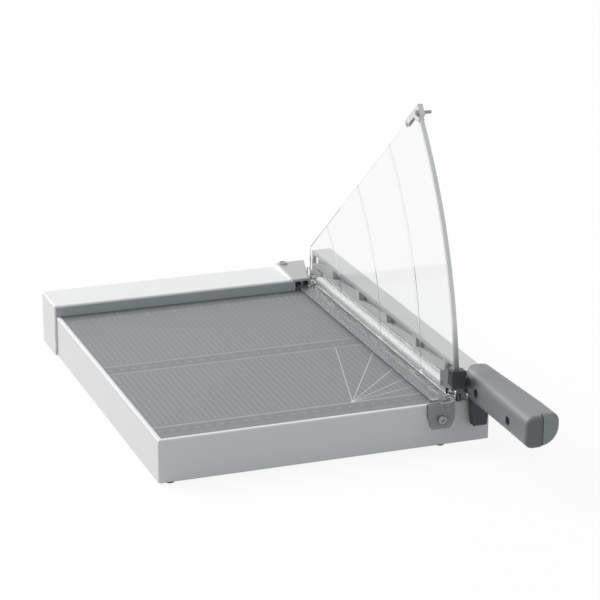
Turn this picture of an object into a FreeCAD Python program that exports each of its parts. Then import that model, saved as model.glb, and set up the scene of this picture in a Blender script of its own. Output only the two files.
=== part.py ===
import FreeCAD, Part
import math
import os

# Desk paper trimmer with a hinged cutting arm, in millimetres.
# X runs to the right, Y away from the user, Z up.
# The origin is the middle of the trimmer's outline seen from above, on the surface that it stands on.

# Base tray
base_width = 283.0
base_depth = 358.1
base_height = 36.0
base_wall = 2.4
base_corner = 2.0
deck_thickness = 2.6
rim_width = 3.4
rim_round = 1.3
table_sink = 0.3
rib_thickness = 2.0
rib_height = 12.0
rib_count_along = 4
rib_count_across = 3

# Feet
foot_drop = 2.4
foot_radius = 4.6
foot_taper = 1.0
foot_recess = 1.2
foot_inset_side = 10.8
foot_inset_end = 6.4
foot_boss_radius = 5.0
foot_boss_height = 14.0
foot_screw_radius = 1.2
foot_screw_head = 2.0
foot_screw_length = 10.0

# Printed mat
mat_thickness = 0.7
mat_gap = 0.15

# Cutting line, bed knife and the well beside it
knife_setback = 25.4
knife_thickness = 3.0
knife_height = 16.0
carrier_wall = 4.6
well_floor = 8.0
well_side = 22.0
knife_screws = 5
knife_screw_radius = 2.0
knife_screw_head = 3.7
knife_screw_inset = 28.0
knife_screw_length = 6.8

# Rear cover, fence and pivot cover
cover_depth = 45.6
cover_rise = 10.2
cover_wall = 2.0
cover_lap = 1.9
cover_edge = 1.6
cover_end = 57.0
cover_cheek = 3.0
cover_cheek_round = 1.4
fence_thickness = 3.0
hood_rise_front = 0.4
hood_rise_rear = 3.3
hood_lip = 2.8
hood_wall = 2.0
hood_width_front = 15.4
hood_width_rear = 27.0
guard_heel_inset = 37.1
hood_screw_radius = 1.2
hood_screw_head = 2.1
hood_boss_radius = 3.8
hood_boss_rise = 4.8
hood_screw_inset = 4.4

# Pivot
pivot_inset = 20.6
pivot_drop = 9.7
bolt_radius = 4.0
bolt_head = 7.5
bolt_head_height = 5.2
bush_wall = 2.0
pivot_play = 0.05
lug_radius = 13.0
washer_radius = 9.5
washer_thickness = 1.6
spring_disc_rise = 1.8
pivot_plate = 3.2
pivot_plate_length = 44.0
nut_height = 6.4
stack_gap = 0.05

# Cutting arm and upper blade
blade_thickness = 1.8
blade_play = 0.05
blade_height = 18.5
blade_drop = 6.7
blade_bevel = 6.0
blade_front = 2.5
blade_rear_inset = 37.0
arm_top_rise = 24.8
arm_width = 19.4
arm_web = 3.0
arm_front = 1.5
arm_tail = 12.5
arm_skirt = 16.8
arm_round = 1.4
arm_blade_cover = 16.0
window_pitch = 65.3
window_count = 4
window_length = 58.0
window_height = 8.4
window_first = 43.1
window_band = 3.2
arm_rib = 2.0
arm_spine_gap = 3.2
arm_spine = 1.6
cap_plug = 12.0
blade_screws = 5
blade_screw_radius = 2.0
blade_screw_head = 3.6
blade_screw_rise = 3.8
blade_screw_inset = 38.0

# Arm's end cap, tang and handle
end_gap = 0.2
end_slant_top = -0.6
end_slant_knee = 6.4
end_slant_bottom = 17.0
tongue_bottom = 16.8
tongue_front = 12.0
tongue_rear = 4.9
handle_length = 121.0
handle_height = 27.0
handle_height_taper = 0.4
handle_lift = 3.0
handle_width_rear = 21.4
handle_width_front = 29.8
handle_corner_rear = 5.0
handle_corner_front = 7.0
handle_thumb_round = 7.4
handle_palm_round = 16.5
handle_flare = 30.0
handle_flare_bulge = 1.3
handle_nose_left = 3.2
handle_nose_right = 5.2
handle_seam = 1.5
handle_seam_depth = 1.1
handle_sweep = 0.7
handle_knee_rise = 11.0
handle_arch = 4.0
handle_side_shift = 1.8
handle_blank = 60.0
tang_thickness = 6.0
tang_height = 12.0
tang_inside = 44.0
tang_in_handle = 88.0
tang_play = 0.2
handle_screw_near = 23.4
handle_screw_far = 86.3
handle_screw_radius = 2.0
handle_screw_head = 3.5
handle_screw_recess = 4.0
handle_screw_sink = 3.6
tang_screw_head = 4.5

# Guard panel with its edge strip
guard_gap = 11.1
guard_thickness = 2.0
guard_overhang = 14.7
guard_slope = 37.8
guard_slope_offset = 27.4
guard_clear = 5.6
strip_width = 3.4
strip_depth = 3.2
strip_lap = 1.6
strip_play = 0.1
arc_rib_radii = (97.7, 189.4, 277.9)
arc_rib_width = 1.3
arc_rib_height = 0.5
arc_rib_sweep = 75.0
clip_length = 27.0
clip_wall = 1.2
clip_depth = 4.4
clip_head = 9.0
clip_reach = 6.2
clip_neck = 4.0
clip_screw_radius = 0.9
clip_screw_head = 1.5
stop_pin_radius = 1.4
stop_pin_head = 2.6
stop_pin_length = 7.0

# Guide shoe on the arm and post under the guard's front end
shoe_play = 0.45
shoe_cheek_left = 3.4
shoe_cheek_right = 4.8
shoe_front = 17.2
shoe_rear = 8.2
shoe_bottom = 16.9
shoe_height = 16.4
shoe_round = 0.9
shoe_chamfer = 3.0
post_gap = 0.3
post_plate = 3.0
post_wall = 1.5
post_leg_radius = 1.8
post_nut_radius = 2.3
post_nut_height = 6.0
bracket_leg = 2.4
guard_screw_radius = 1.0
guard_screw_head = 1.7
bracket_screw_radius = 1.2
bracket_screw_head = 2.0
bracket_foot = 3.0
bracket_height = 13.8
bracket_length = 23.0
bracket_wall = 1.0
bracket_gap = 0.6

# Clamp bar
clamp_lift = 2.2
clamp_left_inset = 52.4
clamp_flange = 2.3
clamp_ridge_width = 7.2
clamp_ridge_height = 8.3
clamp_ridge_round = 2.4
clamp_knife_gap = 1.4
clamp_nose = 22.0
clamp_tail_length = 20.0
clamp_notch_gap = 0.6
groove_width = 0.8
groove_depth = 0.5
apron_width = 23.8
apron_side = 3.9
apron_thickness = 2.6
apron_gap = 0.4
apron_drop = 20.8
apron_taper_width = 4.1
apron_taper_height = 11.0
apron_neck = 6.0
apron_neck_inset = 14.2
stud_radius = 1.5
stud_play = 0.25
stud_head = 2.6
stud_head_height = 1.5
spring_wire = 0.5
spring_turns = 3
spring_radius = 2.4
pocket_radius = 3.1
pocket_depth = 1.8
apron_screw_radius = 2.2
apron_screw_head = 3.7
apron_screw_drop = 12.9
front_stud_inset = 9.5
rear_stud_inset = 7.5

# Planes that the pieces share
handle_offset = blade_play + blade_thickness + arm_width / 2 + handle_side_shift
handle_past_base = handle_offset + handle_sweep + handle_width_front / 2 - knife_setback
left = (cover_lap - base_width - handle_past_base) / 2
right = left + base_width
front = (handle_length - base_depth) / 2
rear = front + base_depth
edge_z = foot_drop
rim_z = edge_z + base_height
table_z = rim_z - table_sink
mat_bed_z = table_z - mat_thickness
deck_under_z = mat_bed_z - deck_thickness
fence_y = rear - cover_depth
knife_x = right - knife_setback
knife_left = knife_x - knife_thickness
carrier_left = knife_left - carrier_wall
well_floor_z = edge_z + well_floor
well_side_z = edge_z + well_side
base_rear = rear - cover_wall - 0.1
well_rear = base_rear - base_wall
mat_rear = fence_y + fence_thickness + 0.3
cover_z = rim_z + cover_rise
cover_right = right - cover_end
pivot_y = rear - pivot_inset
pivot_z = rim_z - pivot_drop
blade_left = knife_x + blade_play
arm_left = blade_left + blade_thickness
arm_right = arm_left + arm_width
arm_top = rim_z + arm_top_rise
arm_front_y = front + arm_front
arm_rear_y = pivot_y + arm_tail
web_right = arm_left + arm_web
blade_bottom = table_z - blade_drop
blade_top = blade_bottom + blade_height
window_top = arm_top - window_band
guard_x = knife_x - guard_gap
guard_radius = pivot_y - front + guard_overhang
guard_bottom = rim_z + guard_clear
strip_outer = guard_radius + strip_depth - strip_lap
shoe_z = rim_z + shoe_bottom
post_z = shoe_z - post_gap
clamp_left = right - clamp_left_inset
clamp_right = knife_x - clamp_knife_gap
ridge_left = clamp_right - clamp_ridge_width
clamp_under = table_z + clamp_lift + stud_play
flange_top = clamp_under + clamp_flange
ridge_top = clamp_under + clamp_ridge_height
front_stud_x = carrier_left + carrier_wall / 2
rear_stud_x = clamp_left + 6.4
front_stud_y = front + front_stud_inset
rear_stud_y = fence_y + rear_stud_inset
post_leg_x = knife_left + 0.6
post_leg_y = front + rim_width / 2
tail_right = cover_right + hood_width_front - 1.1
bolt_end_x = carrier_left - pivot_plate - nut_height - 1.5
bush_right = web_right + 1.0
washer_left = bush_right + stack_gap
disc_left = washer_left + washer_thickness + stack_gap
head_left = disc_left + spring_disc_rise + stack_gap
bush_outer = bolt_radius + pivot_play + bush_wall
handle_top = rim_z + handle_lift + handle_height
handle_bottom = rim_z + handle_lift
handle_mid_x = knife_x + handle_offset
handle_end_y = front - handle_length
handle_knee_z = handle_bottom + handle_knee_rise
tang_z = arm_top - arm_skirt + 0.2
handle_screw_z = tang_z + tang_height / 2

EX = FreeCAD.Vector(1, 0, 0)
EY = FreeCAD.Vector(0, 1, 0)
EZ = FreeCAD.Vector(0, 0, 1)


def vec(x, y, z):
    return FreeCAD.Vector(x, y, z)


def box(x0, x1, y0, y1, z0, z1):
    return Part.makeBox(x1 - x0, y1 - y0, z1 - z0, vec(x0, y0, z0))


def rod_x(radius, x0, x1, y, z):
    return Part.makeCylinder(radius, x1 - x0, vec(x0, y, z), EX)


def rod_y(radius, y0, y1, x, z):
    return Part.makeCylinder(radius, y1 - y0, vec(x, y0, z), EY)


def rod_z(radius, z0, z1, x, y):
    return Part.makeCylinder(radius, z1 - z0, vec(x, y, z0), EZ)


def face_of(points):
    return Part.Face(Part.makePolygon(points + [points[0]]))


def prism_x(outline, x0, x1):
    # outline lies in the YZ plane
    return face_of([vec(x0, y, z) for y, z in outline]).extrude(vec(x1 - x0, 0, 0))


def prism_y(outline, y0, y1):
    # outline lies in the XZ plane
    return face_of([vec(x, y0, z) for x, z in outline]).extrude(vec(0, y1 - y0, 0))


def prism_z(outline, z0, z1):
    # outline lies in the XY plane
    return face_of([vec(x, y, z0) for x, y in outline]).extrude(vec(0, 0, z1 - z0))


def edges_near(shape, test):
    # edges whose two ends and middle all pass the test
    found = []
    for edge in shape.Edges:
        points = [v.Point for v in edge.Vertexes]
        points.append(edge.valueAt((edge.FirstParameter + edge.LastParameter) / 2))
        if all(test(p) for p in points):
            found.append(edge)
    return found


def upright_edges(shape, x=None, y=None, low=None):
    # vertical edges, at given places where these are named
    found = []
    for edge in shape.Edges:
        ends = [v.Point for v in edge.Vertexes]
        if len(ends) != 2 or abs(ends[0].z - ends[1].z) < 0.5:
            continue
        if math.hypot(ends[0].x - ends[1].x, ends[0].y - ends[1].y) > 1e-6:
            continue
        if x is not None and all(abs(ends[0].x - value) > 1e-6 for value in x):
            continue
        if y is not None and all(abs(ends[0].y - value) > 1e-6 for value in y):
            continue
        if low is not None and min(ends[0].z, ends[1].z) < low:
            continue
        found.append(edge)
    return found


def hexagon_x(across, x0, x1, y, z):
    reach = across / 2 / math.cos(math.pi / 6)
    corners = [math.pi / 3 * k for k in range(6)]
    outline = [(y + reach * math.cos(a), z + reach * math.sin(a)) for a in corners]
    return prism_x(outline, x0, x1)


def sector(r0, r1, a0, a1, x0, x1):
    # part of a ring round the pivot, from angle a0 to a1 above the horizontal
    def at(radius, angle):
        turn = math.radians(angle)
        return vec(x0, pivot_y - radius * math.cos(turn), pivot_z + radius * math.sin(turn))

    middle = (a0 + a1) / 2
    rim = [
        Part.Arc(at(r1, a0), at(r1, middle), at(r1, a1)).toShape(),
        Part.makeLine(at(r1, a1), at(r0, a1)),
        Part.Arc(at(r0, a1), at(r0, middle), at(r0, a0)).toShape(),
        Part.makeLine(at(r0, a0), at(r1, a0)),
    ]
    return Part.Face(Part.Wire(rim)).extrude(vec(x1 - x0, 0, 0))


def spread(first, last, count):
    return [first + (last - first) * k / (count - 1) for k in range(count)]


def pan_screw_x(radius, head, x_tip, x_seat, head_height, y, z):
    # shank from the tip to the seat, domed head beyond the seat
    side = 1 if x_seat > x_tip else -1
    shank = rod_x(radius, min(x_tip, x_seat), max(x_tip, x_seat), y, z)
    x0 = min(x_seat, x_seat + side * head_height)
    cap = rod_x(head, x0, x0 + head_height, y, z)
    rim = edges_near(cap, lambda p: abs(p.x - (x_seat + side * head_height)) < 1e-6)
    slot = box(x_seat + side * head_height - 0.5, x_seat + side * head_height + 0.5,
               y - head, y + head, z - 0.5, z + 0.5)
    return shank.fuse(cap.makeFillet(head_height * 0.45, rim)).cut(slot)


def pan_screw_z(radius, head, z_tip, z_seat, head_height, x, y):
    # screw with its head above or below the shank
    side = 1 if z_seat > z_tip else -1
    shank = rod_z(radius, min(z_tip, z_seat), max(z_tip, z_seat), x, y)
    z0 = min(z_seat, z_seat + side * head_height)
    cap = rod_z(head, z0, z0 + head_height, x, y)
    rim = edges_near(cap, lambda p: abs(p.z - (z_seat + side * head_height)) < 1e-6)
    slot = box(x - head, x + head, y - 0.5, y + 0.5,
               z_seat + side * head_height - 0.5, z_seat + side * head_height + 0.5)
    return shank.fuse(cap.makeFillet(head_height * 0.45, rim)).cut(slot)


def save(name, shape):
    shape = shape.removeSplitter()
    solids = shape.Solids
    if not shape.isValid() or not solids:
        raise ValueError(name + " is not a valid solid")
    result = solids[0] if len(solids) == 1 else Part.makeCompound(solids)
    result.exportStep("parts/" + name + ".step")
    print(name, len(solids), round(sum(s.Volume for s in solids) / 1000, 2), "cm3")


def foot_places():
    xs = (left + foot_inset_side, carrier_left - foot_inset_side + base_wall)
    ys = (front + foot_inset_end, base_rear - foot_inset_end)
    return [(x, y) for x in xs for y in ys]


def knife_screw_ys():
    return spread(front + knife_screw_inset, pivot_y - knife_screw_inset, knife_screws)


def blade_screw_ys():
    return spread(front + blade_screw_inset, pivot_y - blade_screw_inset, blade_screws)


# Base: a moulded tray open below, with a raised rim, a recess for the mat,
# a deep well beside the cutting line, stiffening ribs and bosses for the feet
def base_shell():
    body = box(left, right, front, base_rear, edge_z, rim_z)
    body = body.makeFillet(base_corner, upright_edges(body))
    rim = edges_near(body, lambda p: abs(p.z - rim_z) < 1e-6)
    body = body.makeFillet(rim_round, rim)
    body = body.cut(box(left + rim_width, knife_left, front + rim_width, rear, table_z, rim_z + 1))
    body = body.cut(box(left + rim_width, carrier_left, front + rim_width,
                        mat_rear + mat_gap, mat_bed_z, rim_z + 1))
    body = body.cut(box(clamp_left - clamp_notch_gap, knife_left, front - 1, front + rim_width + 1,
                        table_z, rim_z + 1))
    well = box(knife_left, right - base_wall, front + base_wall, well_rear, well_floor_z, rim_z + 1)
    body = body.cut(well)
    body = body.cut(box(knife_x, right + 1, front + base_wall, rear, well_side_z, rim_z + 1))
    hollow = box(left + base_wall, carrier_left, front + base_wall, well_rear,
                 edge_z - 1, deck_under_z)
    under_well = box(carrier_left + carrier_wall, right - base_wall, front + base_wall, well_rear,
                     edge_z - 1, well_floor_z - base_wall)
    body = body.cut(hollow).cut(under_well)
    rib_low = deck_under_z - rib_height
    for x in spread(left, carrier_left, rib_count_along + 2)[1:-1]:
        body = body.fuse(box(x - rib_thickness / 2, x + rib_thickness / 2,
                             front + base_wall, well_rear, rib_low, deck_under_z))
    for y in spread(front, fence_y, rib_count_across + 1)[1:]:
        body = body.fuse(box(left + base_wall, carrier_left,
                             y - rib_thickness / 2, y + rib_thickness / 2, rib_low, deck_under_z))
    for x, y in foot_places():
        wall_y = front if y < fence_y - base_depth / 2 else base_rear
        boss = rod_z(foot_boss_radius, edge_z, edge_z + foot_boss_height, x, y)
        web = box(x - rib_thickness, x + rib_thickness, min(y, wall_y) + 0.5, max(y, wall_y) - 0.5,
                  edge_z, edge_z + foot_boss_height)
        body = body.fuse(boss).fuse(web)
        body = body.cut(rod_z(foot_screw_radius, edge_z - 1, edge_z + foot_screw_length, x, y))
    # access window over the pivot nut, and the bolt's hole
    body = body.cut(box(bolt_end_x - 2, carrier_left, pivot_y - lug_radius + 3,
                        pivot_y + lug_radius - 3, rib_low - 1, rim_z + 1))
    body = body.cut(rod_x(bolt_radius + pivot_play, carrier_left - 1, knife_left + 1, pivot_y, pivot_z))
    for y in knife_screw_ys():
        body = body.cut(rod_x(knife_screw_radius, carrier_left - 1, knife_left + 1, y, knife_screw_z()))
    # threaded holes for the clamp's studs, the post and the apron's shoulder screw
    body = body.cut(rod_z(stud_radius, table_z - 8, table_z + 1, front_stud_x, front_stud_y))
    boss = rod_z(4.0, table_z - 10, table_z, rear_stud_x, rear_stud_y)
    body = body.fuse(boss).cut(rod_z(stud_radius, table_z - 8, table_z + 1, rear_stud_x, rear_stud_y))
    body = body.cut(rod_y(apron_screw_radius - 0.4, front - 1, front + base_wall + 1,
                          apron_screw_x(), rim_z - apron_screw_drop))
    for y in bracket_screw_ys():
        body = body.cut(rod_z(bracket_screw_radius, table_z - 6, table_z + 1, bracket_screw_x(), y))
    return body


def knife_screw_z():
    return table_z - knife_height / 2 - 1


def apron_screw_x():
    return clamp_left - apron_side + apron_width / 2 + 0.6


def bracket_screw_x():
    return knife_left - 1.6


def bracket_screw_ys():
    return (fence_y + 9, fence_y + 21)


def feet():
    pads = []
    for x, y in foot_places():
        pad = Part.makeCone(foot_radius - foot_taper, foot_radius, foot_drop, vec(x, y, 0), EZ)
        rim = edges_near(pad, lambda p: abs(p.z) < 1e-6)
        pad = pad.makeFillet(0.4, rim)
        pad = pad.cut(rod_z(foot_screw_head + 0.2, -1, foot_recess, x, y))
        pad = pad.cut(rod_z(foot_screw_radius + 0.1, -1, edge_z + 1, x, y))
        pads.append(pad)
    return Part.makeCompound(pads)


def foot_screws():
    screws = []
    for x, y in foot_places():
        shank = rod_z(foot_screw_radius - 0.02, foot_recess, edge_z + foot_screw_length - 1, x, y)
        cap = Part.makeCone(foot_screw_head - 0.5, foot_screw_head, 0.8, vec(x, y, foot_recess - 0.8), EZ)
        slot = box(x - 0.3, x + 0.3, y - 3, y + 3, 0, 0.8)
        screws.append(shank.fuse(cap).cut(slot))
    return Part.makeCompound(screws)


def mat():
    sheet = box(left + rim_width + mat_gap, carrier_left - mat_gap, front + rim_width + mat_gap,
                mat_rear, mat_bed_z, table_z)
    return sheet.makeFillet(1.2, upright_edges(sheet))


# Fixed lower blade, ground square, with countersunk holes and the bolt's hole at the rear
def bed_knife():
    bar = box(knife_left, knife_x, front + base_wall + 1.2, well_rear - 0.3,
              table_z - knife_height, table_z)
    bar = bar.cut(rod_x(bolt_radius + pivot_play, knife_left - 1, knife_x + 1, pivot_y, pivot_z))
    for y in knife_screw_ys():
        bar = bar.cut(rod_x(knife_screw_radius + 0.1, knife_left - 1, knife_x + 1, y, knife_screw_z()))
        bar = bar.cut(knife_screw_cone(y, 0.1))
    return bar


def knife_screw_cone(y, gap):
    depth = knife_screw_head - knife_screw_radius
    return Part.makeCone(knife_screw_radius + gap, knife_screw_head + gap, depth,
                         vec(knife_x - depth, y, knife_screw_z()), EX)


def bed_knife_screws():
    screws = []
    for y in knife_screw_ys():
        shank = rod_x(knife_screw_radius - 0.02, knife_x - knife_screw_length, knife_x - 0.9,
                      y, knife_screw_z())
        screw = shank.fuse(knife_screw_cone(y, 0).common(
            rod_x(knife_screw_head, knife_x - 3, knife_x - 0.1, y, knife_screw_z())))
        slot = box(knife_x - 0.7, knife_x, y - knife_screw_head, y + knife_screw_head,
                   knife_screw_z() - 0.45, knife_screw_z() + 0.45)
        screws.append(screw.cut(slot))
    return Part.makeCompound(screws)


# Cover along the rear edge: a shell with a rolled front edge that wraps round the left end
def rear_cover():
    x0 = left - cover_lap
    body = box(x0, cover_right, fence_y, rear, edge_z, cover_z)
    body = body.makeFillet(base_corner, upright_edges(body, x=[x0], y=[rear]))
    top = edges_near(body, lambda p: abs(p.z - cover_z) < 1e-6 and p.x < cover_right - 1e-6
                     or abs(p.z - cover_z) < 1e-6 and abs(p.y - fence_y) < 1e-6
                     or abs(p.z - cover_z) < 1e-6 and abs(p.y - rear) < 1e-6)
    body = body.makeFillet(cover_edge, top)
    body = body.cut(box(left - 0.1, cover_right + 1, fence_y - 1, rear - cover_wall,
                        edge_z - 1, cover_z - cover_wall))
    end = box(cover_right - cover_wall, cover_right, fence_y + fence_thickness + 0.1,
              rear - cover_wall, table_z + 0.05, cover_z - cover_wall)
    body = body.fuse(end)
    for x in spread(left, cover_right, 5)[1:-1]:
        body = body.fuse(box(x - 1, x + 1, fence_y + fence_thickness + 6, rear - cover_wall,
                             table_z + 0.05, cover_z - cover_wall))
    return body.fuse(cover_cheek_wedge())


def hood_top(y):
    return cover_z + hood_rise_front + (hood_rise_rear - hood_rise_front) * (y - fence_y) / cover_depth


def cover_cheek_wedge():
    # raised end of the cover, level with the hood beside it
    y0 = fence_y + cover_edge
    y1 = rear - cover_edge
    low = cover_z - cover_wall / 2
    side = [(y0, low), (y1, low), (y1, hood_top(y1)), (y0, hood_top(y0))]
    x0 = cover_right - cover_cheek
    wedge = prism_x(side, x0, cover_right)
    crest = edges_near(wedge, lambda p: abs(p.x - x0) < 1e-6 and p.z > cover_z)
    return wedge.makeFillet(cover_cheek_round, crest)


def fence_strip():
    strip = box(left + 0.2, cover_right - 0.2, fence_y, fence_y + fence_thickness,
                rim_z + 0.05, cover_z - cover_wall - 0.05)
    tongue = box(left + rim_width + 0.2, cover_right - 0.2, fence_y, fence_y + fence_thickness,
                 table_z + 0.05, rim_z + 0.1)
    return strip.fuse(tongue)


# Hood over the pivot nut and the clamp's tail: its top rises and widens towards the rear
def pivot_cover():
    x0 = cover_right + 0.1
    low = table_z + 0.05
    body = hood_blank(x0, x0 + hood_width_front, x0 + hood_width_rear, rear, 0, low)
    body = body.makeFillet(0.8, edges_near(body, lambda p: p.z > cover_z + hood_rise_front - 0.1))
    wide = hood_wall * 2
    inner = hood_blank(x0 + hood_wall, x0 + hood_width_front - 0.4, x0 + hood_width_rear - wide,
                       rear - hood_wall, hood_wall + 0.4, low - 1)
    front_cut = box(x0 + hood_wall, x0 + hood_width_front - 0.4, fence_y - 1, fence_y + 2,
                    low - 1, cover_z + hood_rise_front - hood_lip)
    body = body.cut(inner).cut(front_cut)
    x, y = cover_right + hood_screw_inset, rear - hood_screw_inset
    boss = rod_z(hood_boss_radius, low, cover_z + hood_boss_rise, x, y)
    body = body.fuse(boss.makeFillet(0.6, edges_near(boss, lambda p: p.z > cover_z + 1)))
    body = body.cut(rod_z(hood_screw_radius, low - 1, hood_screw_z() + 1, x, y))
    return body.cut(rod_z(hood_screw_head + 0.3, hood_screw_z(), hood_screw_z() + 9, x, y))


def hood_blank(x0, x_front, x_rear, y_rear, lower, z0):
    top_front = cover_z + hood_rise_front - lower
    top_rear = cover_z + hood_rise_rear - lower
    side = [(fence_y, z0), (y_rear, z0), (y_rear, top_rear), (fence_y, top_front)]
    plan = [(x0, fence_y), (x_front, fence_y), (x_rear, y_rear), (x0, y_rear)]
    return prism_x(side, x0, x_rear).common(prism_z(plan, z0, top_rear + 1))


def guard_heel_y():
    return rear - guard_heel_inset


def hood_screw_z():
    return cover_z + hood_boss_rise - 1.6


def pivot_cover_screw():
    return pan_screw_z(hood_screw_radius - 0.05, hood_screw_head, table_z + 0.6, hood_screw_z(), 1.3,
                       cover_right + hood_screw_inset, rear - hood_screw_inset)


# Steel plate and fasteners that hold the pivot bolt in the base
def pivot_bracket():
    x1 = carrier_left - 0.05
    x0 = x1 - pivot_plate
    half = pivot_plate_length / 2
    plate = box(x0, x1, pivot_y - half, well_rear - 0.3,
                well_floor_z - 4, deck_under_z - 0.1)
    plate = plate.cut(rod_x(bolt_radius + pivot_play, x0 - 1, x1 + 1, pivot_y, pivot_z))
    return plate


def pivot_bolt():
    shank = rod_x(bolt_radius, bolt_end_x, head_left, pivot_y, pivot_z)
    head = hexagon_x(2 * bolt_head - 2, head_left, head_left + bolt_head_height, pivot_y, pivot_z)
    crown = Part.makeCone(bolt_head + 0.4, bolt_head - 1.6, bolt_head_height,
                          vec(head_left, pivot_y, pivot_z), EX)
    return shank.fuse(head.common(crown))


def pivot_nut():
    x1 = carrier_left - pivot_plate - 0.1
    nut = hexagon_x(2 * bolt_head - 2, x1 - nut_height, x1, pivot_y, pivot_z)
    return nut.cut(rod_x(bolt_radius + pivot_play, x1 - nut_height - 1, x1 + 1, pivot_y, pivot_z))


def ring_x(r0, r1, x0, x1):
    return rod_x(r1, x0, x1, pivot_y, pivot_z).cut(rod_x(r0, x0 - 1, x1 + 1, pivot_y, pivot_z))


def thrust_washer():
    return ring_x(bolt_radius + pivot_play, lug_radius - 1.5, knife_x + stack_gap, arm_left - stack_gap)


def pivot_washer():
    return ring_x(bolt_radius + pivot_play, washer_radius, washer_left, washer_left + washer_thickness)


def disc_springs():
    # two dished rings, rim to rim
    half = spring_disc_rise / 2
    sheet = 0.5
    inner = bolt_radius + 2 * pivot_play
    outer = washer_radius - 1
    x0 = disc_left
    profile = [(x0, inner), (x0 + half - sheet, outer), (x0 + half, outer), (x0 + sheet, inner)]
    far = [(2 * x0 + spring_disc_rise - x, r) for x, r in profile]
    rings = []
    for outline in (profile, far):
        points = [vec(x, pivot_y, pivot_z + r) for x, r in outline]
        rings.append(face_of(points).revolve(vec(0, pivot_y, pivot_z), EX, 360))
    return Part.makeCompound(rings)


def pivot_bush():
    return ring_x(bolt_radius + pivot_play, bush_outer, arm_left, bush_right)


# Cutting arm: an inverted channel whose inner web carries the blade, with wedge-shaped
# windows between cross ribs and a round lug at the pivot
def arm_web_outline():
    low = blade_bottom + blade_height - arm_blade_cover
    start = pivot_y - 34
    reach = math.hypot(pivot_y - start, pivot_z - low)
    lift = math.atan2(low - pivot_z, pivot_y - start)
    angle = math.acos(lug_radius / reach)
    turn = math.pi - lift - angle
    touch = vec(arm_left, pivot_y + lug_radius * math.cos(-turn), pivot_z + lug_radius * math.sin(-turn))
    bottom = vec(arm_left, pivot_y + lug_radius * math.cos(math.pi / 4),
                 pivot_z - lug_radius * math.sin(math.pi / 4))
    rise = math.sqrt(lug_radius ** 2 - arm_tail ** 2)
    tail = vec(arm_left, arm_rear_y, pivot_z + rise)
    corner = vec(arm_left, arm_rear_y, arm_top)
    head = vec(arm_left, arm_front_y, arm_top)
    toe = vec(arm_left, arm_front_y, low)
    heel = vec(arm_left, start, low)
    rim = [
        Part.makeLine(toe, heel),
        Part.makeLine(heel, touch),
        Part.Arc(touch, bottom, tail).toShape(),
        Part.makeLine(tail, corner),
        Part.makeLine(corner, head),
        Part.makeLine(head, toe),
    ]
    return Part.Face(Part.Wire(rim))


def cutting_arm():
    channel = box(arm_left, arm_right, arm_front_y, arm_rear_y, arm_top - arm_skirt, arm_top)
    outer = edges_near(channel, lambda p: abs(p.z - arm_top) < 1e-6 and abs(p.x - arm_right) < 1e-6)
    channel = channel.makeFillet(arm_round, outer)
    channel = channel.cut(box(web_right, arm_right - arm_web, arm_front_y - 1, arm_rear_y + 1,
                              arm_top - arm_skirt - 1, window_top))
    arm = channel.fuse(arm_web_outline().extrude(vec(arm_web, 0, 0)))
    for k in range(window_count):
        y = pivot_y - window_first - k * window_pitch
        wedge = [(y, window_top - window_height), (y, window_top),
                 (y - window_length, window_top), (y - window_length, window_top - 1.0)]
        arm = arm.cut(prism_x(wedge, arm_left - 1, web_right + 0.01))
        rib = box(web_right - 0.1, arm_right - arm_web + 0.1, y + 0.6, y + 0.6 + arm_rib,
                  arm_top - arm_skirt, window_top + 0.1)
        arm = arm.fuse(rib)
    # inner wall behind the windows
    arm = arm.fuse(box(web_right + arm_spine_gap, web_right + arm_spine_gap + arm_spine,
                       arm_front_y + cap_plug + 0.5, arm_rear_y, arm_top - arm_skirt, window_top + 0.1))
    y = arm_rear_y - 4
    tail = [(y, window_top - window_height), (y, window_top), (y - 34, window_top), (y - 34, window_top - 1.0)]
    arm = arm.cut(prism_x(tail, arm_left - 1, web_right + 0.01))
    arm = arm.cut(rod_x(bush_outer + 0.01, arm_left - 1, web_right + 1, pivot_y, pivot_z))
    for y in blade_screw_ys():
        arm = arm.cut(rod_x(blade_screw_radius + 0.1, arm_left - 1, web_right + 1, y, blade_screw_z()))
    arm = arm.cut(box(arm_left - 1, web_right + 1, front - 1, front + base_wall + 0.5, edge_z, rim_z + 0.4))
    arm = arm.cut(tang_clearance())
    for y in tang_screw_ys():
        arm = arm.cut(rod_x(tang_screw_radius() + 0.1, arm_right - arm_web - 1, arm_right + 1, y,
                            handle_screw_z))
    return arm


def tang_clearance():
    return box(tang_x0() - tang_play, tang_x0() + tang_thickness + tang_play,
               front - 1, arm_front_y + tang_inside + tang_play,
               tang_z - tang_play, tang_z + tang_height + tang_play)


def tang_x0():
    return handle_mid_x - tang_thickness / 2


def tang_screw_ys():
    return (arm_front_y + 16, arm_front_y + tang_inside - 10)


def tang_screw_radius():
    return handle_screw_radius + 0.4


def blade_screw_z():
    return arm_top - arm_skirt - blade_screw_rise


def upper_blade():
    y0 = front + blade_front
    y1 = pivot_y - blade_rear_inset + lug_radius
    side = [(y0 + 5, blade_bottom), (y1, blade_bottom), (y1, blade_top), (y0, blade_top),
            (y0, blade_bottom + 5)]
    blade = prism_x(side, blade_left, arm_left)
    bevel = [(blade_left + 0.15, blade_bottom - 0.1), (arm_left + 0.1, blade_bottom - 0.1),
             (arm_left + 0.1, blade_bottom + blade_bevel)]
    blade = blade.cut(prism_y(bevel, y0 - 1, y1 + 1))
    for y in blade_screw_ys():
        blade = blade.cut(rod_x(blade_screw_radius + 0.05, blade_left + 0.4, arm_left + 1, y,
                                blade_screw_z()))
    return blade


def blade_screw_group():
    screws = []
    for y in blade_screw_ys():
        screws.append(pan_screw_x(blade_screw_radius, blade_screw_head, blade_left + 0.5, web_right,
                                  2.2, y, blade_screw_z()))
    return Part.makeCompound(screws)


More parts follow.
